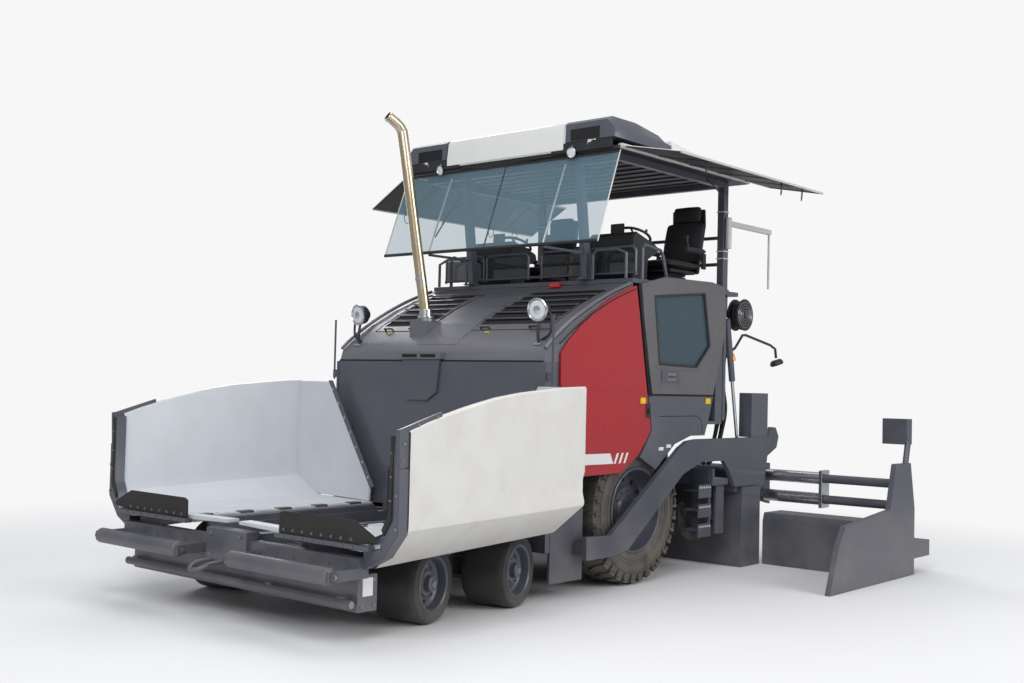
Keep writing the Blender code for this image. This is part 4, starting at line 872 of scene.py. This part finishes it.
def roof():
    """Moulded roof: white crown and fascia, dark corner housings with lamps, ribbed underside."""
    bench = Bench()
    base, crown = ROOF_BOTTOM, high("canopy_roof").z
    bench.plate("x", [(0.13, base + 0.10), (0.15, crown - 0.02), (0.19, crown), (0.46, crown), (1.30, crown - 0.105),
                      (2.34, base + 0.052), (2.34, base + 0.03), (0.13, base + 0.03)], -0.71, 0.70, "roof", 0.010)
    for side in (1, -1):
        bench.side = side
        bench.plate("x", [(0.98, base + 0.03), (0.98, crown - 0.085), (1.30, crown - 0.125), (2.34, base + 0.048),
                          (2.34, base + 0.03)], 0.70, 1.245, "roof", 0.008)
        # Corner housing, drawn in towards its top and its rear end.
        rings = []
        for y, inner, outer, top, bottom in ((0.132, 0.715, 1.235, crown - 0.03, base + 0.10),
                                             (0.17, 0.712, 1.258, crown - 0.004, base + 0.09),
                                             (0.50, 0.712, 1.264, crown - 0.006, base + 0.085),
                                             (0.86, 0.712, 1.262, crown - 0.055, base + 0.080),
                                             (0.985, 0.712, 1.240, crown - 0.090, base + 0.080)):
            rings.append([(inner, y, bottom), (outer, y, bottom), (outer, y, bottom + 0.075),
                          (outer - 0.075, y, top), (inner, y, top)])
        grid = [[bench.bm.verts.new(bench._at(p)) for p in ring] for ring in rings]
        faces = [bench.bm.faces.new(grid[0]), bench.bm.faces.new(grid[-1][::-1])]
        for near, far in zip(grid, grid[1:]):
            for k in range(5):
                m = (k + 1) % 5
                faces.append(bench.bm.faces.new((near[k], far[k], far[m], near[m])))
        bmesh.ops.recalc_face_normals(bench.bm, faces=faces)
        bench._paint(faces, "body")
        bench.box((0.77, 1.08), (0.128, 0.1325), (base + 0.105, base + 0.205), "dark_and_painted_shade", 0.001)
        bench.box((0.55, 1.20), (0.135, 0.16), (base + 0.012, base + 0.095), "black")
        for x, y, z in ((0.992, 0.124, 3.774), (0.784, 0.107, 3.706)):
            z = z - 3.70 + base
            aim = (side * 0.12, -1, -0.18)
            bench.lathe([(-0.035, 0.0), (-0.035, 0.026), (-0.010, 0.040), (0.0, 0.043)], (side * x, y + 0.02, z), aim,
                        "black", 24)
            bench.lathe([(-0.002, 0.044), (0.006, 0.045), (0.008, 0.040), (0.004, 0.036)], (side * x, y + 0.02, z), aim,
                        "steel", 28)
            bench.lathe([(0.004, 0.038), (0.008, 0.0)], (side * x, y + 0.02, z), aim, "lens", 24)
            bench.bar((x, y + 0.025, z + 0.03), (x, y + 0.04, z + 0.075), 0.008, "steel", 8)
    bench.side = 1
    bench.box((-ROOF_HALF + 0.02, ROOF_HALF - 0.02), (0.16, 2.34), (base + 0.0005, base + 0.03), "black", 0.002)
    for i in range(9):
        y = 0.50 + i * 0.18
        bench.box((-1.05, 1.05), (y, y + 0.05), (base - 0.012, base + 0.002), "black", 0.004)
    for side in (1, -1):
        bench.box((side * 1.225, side * 1.268), (0.20, 2.34), (base + 0.004, base + 0.05), "pale", 0.004)
        for y in (0.45, 1.05, 1.70, 2.25):
            bench.bolt((side * 1.268, y, base + 0.028), (side, 0, 0), 0.009)
    bench.make("detail_canopy_roof", "chassis", "canopy_roof")


def awnings():
    """Light side flaps: pale skin on a tube frame, dark underside with ribs, rope loops."""
    for label, side in SIDES:
        drop = AWNING_DROP[side]
        node = "awning_" + label
        hinge = Vector((1.282, 0, ROOF_BOTTOM + 0.02))
        out = Vector((math.cos(drop), 0, -math.sin(drop)))
        up = Vector((math.sin(drop), 0, math.cos(drop)))
        front, rear, width = low(node).y, high(node).y, 0.595
        bench = Bench(side)

        def slab(u, y, w, kind, edge=0.002):
            corners = [hinge + out * a + up * b for a, b in ((u[0], w[0]), (u[1], w[0]), (u[1], w[1]), (u[0], w[1]))]
            bench.plate("y", [(c.x, c.z) for c in corners], y[0], y[1], kind, edge)

        slab((0.012, width - 0.004), (front + 0.004, rear - 0.004), (0.003, 0.010), "roof")
        slab((0.014, width - 0.006), (front + 0.006, rear - 0.006), (-0.004, 0.0028), "black")
        for u in ((0.0, 0.024), (width - 0.022, width)):
            slab(u, (front, rear), (-0.0095, 0.0095), "pale", 0.003)
        for i in range(6):
            y = front + (rear - front - 0.03) * i / 5
            slab((0.02, width - 0.02), (y, y + 0.03), (-0.009, -0.0005), "black")
        for y in (front + 0.45, rear - 0.75, rear - 0.35):
            top = hinge + out * (width - 0.05) - up * 0.008
            loop = [(top.x, y, top.z), (top.x + 0.012, y - 0.03, top.z - 0.05), (top.x, y - 0.01, top.z - 0.115),
                    (top.x - 0.01, y + 0.03, top.z - 0.06), (top.x, y + 0.012, top.z)]
            bench.tube(loop, 0.004, "black", 6)
        bench.make("detail_" + node, node, node)


def screen():
    """Tilted screen of two tinted panes in a dark frame, with its struts and wiper."""
    bench = Bench()
    half = 1.262
    foot, head = Vector((0, -0.11, 2.89)), Vector((0, 0.185, ROOF_BOTTOM - 0.012))
    along = (head - foot).normalized()
    out = Vector((0, -along.z, along.y))

    def at(x, rise, lift=0.0):
        return Vector((x, 0, 0)) + foot + along * rise + out * lift

    tall = (head - foot).length
    for x0, x1 in ((-half, -0.006), (0.006, half)):
        for a, b, kind in ((-0.003, 0.003, "screen"),):
            verts = [[bench.bm.verts.new(at(x, r, lift)) for x, r in
                      ((x0, 0.02), (x1, 0.02), (x1, tall - 0.02), (x0, tall - 0.02))] for lift in (a, b)]
            near, far = verts
            faces = [bench.bm.faces.new(near), bench.bm.faces.new(far[::-1])]
            for k in range(4):
                m = (k + 1) % 4
                faces.append(bench.bm.faces.new((near[k], far[k], far[m], near[m])))
            bmesh.ops.recalc_face_normals(bench.bm, faces=faces)
            bench._paint(faces, kind)
    bench.bar(at(-half, 0.008), at(half, 0.008), 0.015, "black", 10)
    bench.bar(at(-half, tall - 0.01), at(half, tall - 0.01), 0.014, "black", 10)
    for x in (-half, half):
        bench.bar(at(x, 0.0), at(x, tall), 0.006, "pale", 8)
    bench.bar(at(0, 0.0), at(0, tall), 0.007, "black", 8)
    for x in (-0.68, 0.68):
        bench.box((x - 0.011, x + 0.011), (foot.y + 0.01, 0.44), (2.866, 2.888), "body")
        bench.bar(at(x, 0.02, 0.0), at(x, tall - 0.06, -0.02), 0.008, "pale", 8)
    for side in (1, -1):
        bench.tube([at(side * 0.25, tall - 0.03, -0.012), at(side * 0.45, tall - 0.22, -0.008),
                    at(side * 0.62, tall * 0.35, -0.006)], 0.005, "black", 6)
        bench.bar(at(side * 0.52, tall * 0.60, -0.007), at(side * 0.66, tall * 0.20, -0.007), 0.007, "black", 6)
    bench.make("detail_windshield", "chassis", "windshield")


def exhaust_pipe():
    """Brushed pipe with a rolled mouth, bent back at the top."""
    bench = Bench()
    path = [(-0.400, -0.400, 2.246), (-0.405, -0.41, 2.34), (-0.475, -0.505, 3.11), (-0.540, -0.594, 3.83),
            (-0.553, -0.615, 3.935), (-0.572, -0.665, 3.99), (-0.597, -0.740, 4.040)]
    bench.tube(path, 0.0475, "gold", 28)
    tip, before = Vector(path[-1]), Vector(path[-2])
    way = (tip - before).normalized()
    bench.lathe([(0.001, 0.034), (0.004, 0.046), (-0.004, 0.049), (-0.010, 0.047)], tip, way, "gold", 28)
    # Painted shade: a near-black disc in the mouth stands for the dark inside of the pipe.
    bench.lathe([(0.0015, 0.035), (0.0015, 0.0)], tip, way, "dark_and_painted_shade", 28)
    bench.lathe([(0.0, 0.074), (0.024, 0.074), (0.028, 0.068), (0.028, 0.0)], (-0.40, -0.40, 2.242), (0, 0, 1), "bolt", 32)
    for z, y, x in ((2.62, -0.446, -0.432),):
        bench.lathe([(-0.012, 0.047), (-0.012, 0.051), (0.012, 0.051), (0.012, 0.047)], (x, y, z), (-0.09, -0.125, 1),
                    "steel", 28)
    bench.make("detail_exhaust", "chassis", "exhaust")


# ---------------------------------------------------------------- operator's stand
def cushion(name, x, y, z, crown, body="chassis", tilt=0.0):
    """A stuffed pad: crowned faces, sides drawn in between the corners, a sewn seam."""
    bm = bmesh.new()
    bmesh.ops.create_cube(bm, size=2.0)
    bmesh.ops.subdivide_edges(bm, edges=bm.edges[:], cuts=7, use_grid_fill=True)
    half = [(b - a) / 2 for a, b in (x, y, z)]
    middle_at = Vector([(b + a) / 2 for a, b in (x, y, z)])
    thin = half.index(min(half))
    wide = [i for i in range(3) if i != thin]
    for vert in bm.verts:
        u, v, w = vert.co[wide[0]], vert.co[wide[1]], vert.co[thin]
        bulge = (1 - u ** 4) * (1 - v ** 4)
        pull = 1 - 0.045 * (1 - abs(w)) - 0.05 * (u * u * v * v)
        place = Vector((0, 0, 0))
        place[wide[0]] = u * half[wide[0]] * pull
        place[wide[1]] = v * half[wide[1]] * pull
        place[thin] = w * (half[thin] - crown * (1 - bulge))
        for line in (-0.45, 0.45):
            place[thin] -= w * 0.007 * math.exp(-((u - line) / 0.05) ** 2)
        vert.co = place
    bmesh.ops.transform(bm, matrix=Matrix.Rotation(tilt, 4, "X"), verts=bm.verts)
    bmesh.ops.translate(bm, vec=middle_at + Vector((0, ORIGIN_Y, 0)), verts=bm.verts)
    for face in bm.faces:
        face.smooth = True
    mesh = bpy.data.meshes.new(name)
    bm.to_mesh(mesh)
    bm.free()
    mesh.materials.append(MAT["cover"])
    made = bpy.data.objects.new(name, mesh)
    soften = made.modifiers.new("soften", "SUBSURF")
    soften.levels = soften.render_levels = 1
    bpy.context.scene.collection.objects.link(made)
    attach(made, body)
    return made


def seats():
    for label, side in SIDES:
        node = "seat_" + label
        x = side * 0.78
        floor = low(node).z
        bench = Bench()
        bench.box((x - 0.17, x + 0.17), (1.44, 1.78), (floor + 0.001, floor + 0.03), "frame")
        for i in range(4):
            z = floor + 0.035 + i * 0.028
            bench.box((x - 0.145 + 0.004 * (i % 2), x + 0.145 - 0.004 * (i % 2)), (1.46, 1.76), (z, z + 0.022), "rubber", 0.006)
        bench.box((x - 0.20, x + 0.20), (1.40, 1.84), (2.785, 2.812), "black", 0.008)
        back = [(1.885, 2.80), (1.935, 2.80), (2.045, 3.28), (2.035, 3.44), (2.012, 3.44), (2.015, 3.29), (1.885, 2.86)]
        bench.plate("x", back, x - 0.185, x + 0.185, "black", 0.008)
        for arm in (-0.255, 0.255):
            bench.box((x + arm - 0.026, x + arm + 0.026), (1.56, 1.90), (2.985, 3.030), "cover", 0.014)
            bench.box((x + arm - 0.012, x + arm + 0.012), (1.86, 1.92), (2.84, 2.99), "black", 0.004)
        stick = x + 0.255 * side
        bench.tube([(stick, 1.62, 3.02), (stick, 1.60, 3.07), (stick, 1.59, 3.10)], 0.010, "black", 10)
        bench.lathe([(-0.02, 0.0), (-0.018, 0.014), (0.0, 0.021), (0.018, 0.015), (0.022, 0.0)], (stick, 1.588, 3.115),
                    (0, -0.1, 1), "black", 20)
        bench.make("detail_" + node, "chassis", node)
        cushion("seat_pad_" + label, (x - 0.235, x + 0.235), (1.365, 1.885), (2.812, 2.915), 0.035)
        cushion("seat_back_" + label, (x - 0.215, x + 0.215), (1.885, 1.975), (2.90, 3.315), 0.030, tilt=-0.22)
        cushion("seat_head_" + label, (x - 0.150, x + 0.150), (1.955, 2.030), (3.315, 3.468), 0.024, tilt=-0.10)


def console():
    """Operator's desk with its instrument hood and wheel, the smoked guard and the grab rails."""
    node = "console"
    floor = low(node).z
    bench = Bench()
    for x in (0.72, -0.72):
        body = [(0.80, floor + 0.002), (1.04, floor + 0.002), (1.06, 2.86), (1.22, 2.94), (1.20, 3.00), (0.86, 3.10),
                (0.80, 3.05)]
        bench.plate("x", body, x - 0.25, x + 0.25, "black", 0.012)
        bench.plate("x", [(0.90, 3.075), (1.17, 2.998), (1.175, 3.008), (0.905, 3.088)], x - 0.20, x + 0.20, "frame", 0.003)
        bench.box((x - 0.09, x + 0.06), (0.93, 0.945), (3.07, 3.19), "black", 0.008)
        bench.box((x - 0.080, x + 0.050), (0.9455, 0.948), (3.08, 3.18), "dark_and_painted_shade", 0.002)
        for i in range(5):
            for row in range(2):
                spot = (x - 0.15 + i * 0.07, 1.02 + row * 0.08, 3.052 - row * 0.022)
                bench.bar(spot, (spot[0], spot[1] + 0.002, spot[2] + 0.016), 0.010, "bolt" if row else "yellow", 12)
        centre, tilt_way = Vector((x + 0.02, 1.16, 3.10)), Vector((0, 0.45, 1)).normalized()
        ring = [centre + tilt_way.orthogonal().normalized() * 0.15 * math.cos(a)
                + tilt_way.cross(tilt_way.orthogonal().normalized()) * 0.15 * math.sin(a)
                for a in (2 * math.pi * i / 24 for i in range(25))]
        bench.tube([tuple(p) for p in ring], 0.013, "black", 10, smooth=False)
        for i in range(3):
            bench.bar(tuple(centre), tuple(ring[8 * i]), 0.009, "black", 8)
        bench.bar((x + 0.02, 1.13, 3.00), tuple(centre), 0.018, "black", 12)
        bench.bar(tuple(centre + Vector((0.09, 0.05, 0.02))), tuple(centre + Vector((0.09, 0.06, 0.06))), 0.012, "black", 12)
    for x0, x1 in ((0.08, 0.60), (0.64, 1.14), (-0.60, -0.08), (-1.14, -0.64)):
        bench.box((x0, x1), (0.615, 0.621), (2.70, 2.90), "smoke", 0.001)
        bench.tube([(x0, 0.618, 2.68), (x0, 0.618, 2.90), (x0 + 0.03, 0.618, 2.93), (x1 - 0.03, 0.618, 2.93),
                    (x1, 0.618, 2.90), (x1, 0.618, 2.68)], 0.010, "body", 8, smooth=False)
    bench.bar((-1.15, 0.618, 2.70), (1.15, 0.618, 2.70), 0.012, "body", 10)
    for side in (1, -1):
        for y0, y1 in ((0.70, 1.02),):
            bench.tube([(side * 1.15, y0, 2.642), (side * 1.15, y0, 2.92), (side * 1.15, y0 + 0.03, 2.955),
                        (side * 1.15, y1 - 0.04, 2.925), (side * 1.15, y1, 2.88), (side * 1.15, y1 + 0.08, 2.642)],
                       0.016, "body", 12, smooth=False)
        bench.tube([(side * 1.12, 0.50, 2.642), (side * 1.12, 0.50, 2.86), (side * 1.02, 0.50, 2.90),
                    (side * 0.80, 0.50, 2.90), (side * 0.76, 0.50, 2.86), (side * 0.76, 0.50, 2.642)],
                   0.014, "body", 12, smooth=False)
    bench.make("detail_console", "chassis", node)
    # Deck plate relief, guard cover at the right rear, posts' hinges and fittings.
    bench = Bench()
    for i in range(14):
        for j in range(9):
            x, y = -1.10 + i * 0.17 + 0.04 * (j % 2), 1.05 + j * 0.135
            if abs(abs(x) - 0.78) > 0.26 or y > 1.98:
                bench.box((x - 0.022, x + 0.022), (y - 0.006, y + 0.006), (floor - 0.0006, floor + 0.003), "body", 0.001)
    bench.box((-1.10, -0.62), (2.12, 2.20), (floor, 3.10), "pale", 0.010)
    for side in (1, -1):
        bench.box((side * 1.07, side * 1.17), (2.035, 2.145), (floor, floor + 0.012), "body")
        for dx, dy in ((0.045, 0.045), (-0.045, 0.045), (0.045, -0.045), (-0.045, -0.045)):
            bench.bolt((side * 1.12 + dx, 2.09 + dy, floor + 0.012), (0, 0, 1), 0.009)
        for z in (2.95, 3.02, 3.40):
            bench.box((side * 1.075, side * 1.165), (2.045, 2.135), (z, z + 0.012), "pale", 0.002)
        bench.bar((side * 1.157, 2.03, 3.55), (side * 1.157, 1.72, 3.68), 0.007, "black", 8)
        bench.bar((side * 0.715, 0.46, 3.50), (side * 1.05, 0.42, 3.66), 0.007, "black", 8)
        for z in (2.70, 2.78):
            bench.bolt((side * 0.68, 0.475, z), (0, -1, 0.1), 0.010)
        bench.box((side * 0.635, side * 0.725), (0.42, 0.60), (floor, floor + 0.010), "body")
    bench.make("stand_fittings", "chassis")


# ---------------------------------------------------------------- tractor sides
def side_fittings():
    """Crease and stripe of the red cover, seams, door frame, latches."""
    for label, side in SIDES:
        face = high("side_panel_left").x
        bench = Bench(side)
        # Folded crease across the red cover, and the stripe with slanted slashes.
        crease = [(-0.495, 1.707), (0.690, 1.662), (0.694, 1.645), (-0.495, 1.690)]
        bench.plate("x", crease, face - 0.001, face + 0.004, "red", 0.0015)
        bench.plate("x", [(-0.495, 1.150), (0.18, 1.145), (0.225, 1.058), (-0.495, 1.060)], face - 0.0005, face + 0.001,
                    "stripe", 0.0)
        for y in (0.235, 0.305, 0.375):
            bench.plate("x", [(y + 0.04, 1.145), (y + 0.068, 1.145), (y + 0.023, 1.058), (y - 0.005, 1.058)],
                        face - 0.0005, face + 0.001, "stripe", 0.0)
        # Tubular edge of the hood and its black seam.
        arc_points = [(y - 0.012, z + 0.018) for y, z in HOOD_ARC]
        bench.tube([(face - 0.028, y, z) for y, z in arc_points], 0.016, "hood", 10)
        bench.tube([(face + 0.0, y + 0.030, z - 0.030) for y, z in HOOD_ARC[1:]], 0.005, "dark_and_painted_shade", 6)
        seam = [(0.560, 2.585), (0.607, 2.336), (0.690, 1.90), (0.750, 1.62), (0.800, 1.62), (1.80, 1.628)]
        bench.tube([(face - 0.004, y, z) for y, z in seam[:4]], 0.009, "dark_and_painted_shade", 6, smooth=False)
        bench.plate("x", [(0.76, 1.628), (1.80, 1.628), (1.80, 1.642), (0.76, 1.642)], face - 0.006, face + 0.001, "dark_and_painted_shade", 0)
        # Panel joint and screws of the lower side.
        for a, b in (((0.90, 1.45), (1.52, 1.45)), ((1.52, 1.45), (1.60, 1.40)), ((1.60, 1.40), (1.62, 1.285))):
            bench.bar((face + 0.0005, *a), (face + 0.0005, *b), 0.003, "dark_and_painted_shade", 6)
        bench.box((face, face + 0.006), (0.69, 0.755), (1.44, 1.56), "black")
        bench.box((face + 0.006, face + 0.012), (0.705, 0.740), (1.47, 1.52), "dark_and_painted_shade")
        for y, z in ((0.60, 1.585), (1.66, 1.585)):
            bench.box((face, face + 0.012), (y, y + 0.075), (z - 0.025, z + 0.028), "yellow", 0.004)
        for y, z in ((-0.42, 1.02), (0.40, 1.03), (-0.42, 1.55), (0.60, 1.80), (1.55, 1.35), (1.62, 1.52)):
            bench.bolt((face, y, z), (1, 0, 0), 0.008, washer=False)
        for y, z in ((0.90, 1.15), (1.02, 1.17)):
            bench.box((face, face + 0.006), (y, y + 0.07), (z, z + 0.03), "stripe", 0.001)
        bench.make("side_fittings_" + label, "chassis")

        bench = Bench(side)
        frame_of = [(0.89, 1.91), (1.50, 1.90), (1.72, 2.10), (1.62, 2.58), (0.80, 2.50)]
        loop = frame_of + [frame_of[0]]
        for a, b in zip(loop, loop[1:]):
            bench.bar((face + 0.001, *a), (face + 0.001, *b), 0.010, "black", 8)
        bench.plate("x", [(0.83, 1.875), (1.50, 1.868), (1.72, 2.07), (1.735, 2.10), (1.72, 2.10), (1.50, 1.888), (0.84, 1.895)],
                    face, face + 0.005, "warm", 0.001)
        bench.box((face, face + 0.008), (0.92, 1.22), (1.745, 1.855), "body")
        bench.box((face + 0.008, face + 0.013), (1.00, 1.14), (1.765, 1.835), "bolt")
        bench.tube([(face + 0.013, 1.02, 1.80), (face + 0.030, 1.03, 1.80), (face + 0.030, 1.11, 1.80),
                    (face + 0.013, 1.12, 1.80)], 0.005, "black", 8, smooth=False)
        for y, z in ((0.71, 2.52), (1.90, 2.62), (1.88, 2.26), (0.90, 1.72), (1.70, 1.72)):
            bench.bolt((face, y, z), (1, 0, 0), 0.008, washer=False)
        bench.make("door_fittings_" + label, "door_" + label)


def rear_left_fittings():
    """Cable reel, mirror on its arm, flasher, hoses and the corner steps, mirrored to the right."""
    for label, side in SIDES:
        bench = Bench(side)
        hub = Vector((1.16, 2.386, 2.43))
        for x, r in ((1.10, 0.155), (1.205, 0.155)):
            bench.lathe([(0, 0.03), (0, r), (0.006, r), (0.006, 0.03), (0, 0.03)], bench._at((x, *hub.yz)), (1, 0, 0), "black", 40)
        coil = []
        for i in range(14 * 5):
            a = 2 * math.pi * i / 14
            r = 0.055 + 0.0185 * i / 14
            coil.append((1.158 + 0.030 * math.sin(i / 14 * 1.7), hub.y + r * math.cos(a), hub.z + r * math.sin(a)))
        bench.tube(coil, 0.011, "rubber", 8, smooth=False)
        for x in (1.213,):
            for i in range(4):
                ring = [(x, hub.y + (0.045 + i * 0.027) * math.cos(a), hub.z + (0.045 + i * 0.027) * math.sin(a))
                        for a in (2 * math.pi * k / 24 for k in range(25))]
                bench.tube(ring, 0.0045, "bolt", 6, smooth=False)
        bench.bar((1.09, *hub.yz), (1.225, *hub.yz), 0.028, "cast", 16)
        bench.bar((1.215, *hub.yz), (1.223, *hub.yz), 0.018, "yellow", 16)
        bench.box((1.06, 1.10), (2.20, 2.40), (2.40, 2.46), "body")
        bench.box((1.06, 1.10), (2.19, 2.24), (2.40, 2.60), "body")
        # Mirror arm from the corner post, and the flasher under it.
        bench.bar((1.19, 2.03, 1.42), (1.19, 2.03, 2.57), 0.020, "frame", 12)
        arm = [(1.19, 2.05, 2.02), (1.20, 2.22, 2.10), (1.20, 2.36, 2.23), (1.20, 2.42, 2.235), (1.20, 2.92, 2.155),
               (1.20, 3.02, 2.12), (1.20, 3.04, 2.03)]
        bench.tube(arm, 0.013, "black", 10, smooth=False)
        bench.lathe([(-0.02, 0.0), (-0.02, 0.05), (0.0, 0.066), (0.02, 0.070), (0.035, 0.060), (0.040, 0.0)],
                    bench._at((1.20, 3.045, 1.99)), (0.25 * side, 0.25, -1), "black", 28)
        bench.lathe([(-0.03, 0.0), (-0.03, 0.022), (0.0, 0.034), (0.045, 0.034), (0.055, 0.024), (0.055, 0.0)],
                    bench._at((1.20, 2.156, 2.023)), (0.2 * side, 0.1, -1), "amber", 28)
        bench.box((1.175, 1.205), (2.05, 2.13), (2.00, 2.04), "black")
        # Black hoses down the corner.
        for i, (x, y) in enumerate(((1.17, 2.035), (1.14, 2.05), (1.11, 2.03), (1.08, 2.055))):
            sway = 0.016 * (-1) ** i
            bench.tube([(x, y, 2.30), (x + sway, y + 0.03, 2.05), (x - sway, y + 0.045, 1.80), (x, y + 0.07 + sway, 1.52),
                        (x - 0.02, y + 0.06, 1.30), (x - 0.05, y + 0.01, 1.10), (x - 0.09, y - 0.06, 0.98)], 0.014,
                       "rubber", 10)
        for z in (1.70, 2.15):
            bench.box((1.06, 1.19), (2.015, 2.075), (z, z + 0.022), "black", 0.003)
        # Corner steps: three perforated treads behind the wheel.
        step_x = 1.212
        bench.box((1.02, step_x), (1.775, 1.80), (0.34, 0.955), "frame")
        for z in (0.40, 0.58, 0.76):
            bench.box((1.035, step_x + 0.006), (1.60, 1.775), (z - 0.012, z), "body")
            bench.box((step_x - 0.004, step_x + 0.008), (1.58, 1.80), (z - 0.070, z + 0.055), "body", 0.003)
            for i in range(6):
                bench.bar((step_x + 0.007, 1.605 + i * 0.034, z + 0.028), (step_x + 0.0095, 1.605 + i * 0.034, z + 0.028),
                          0.010, "pale", 12)
        bench.make("corner_fittings_" + label, "chassis")


BUILDERS = (front_wheels, rear_wheels, hopper_wings, front_end, hood_details, roof, awnings, screen, exhaust_pipe,
            seats, console, side_fittings, rear_left_fittings)


# ---------------------------------------------------------------- everything
def main():
    camera()
    studio()
    dress_frame()
    for builder in BUILDERS:
        builder()


main()
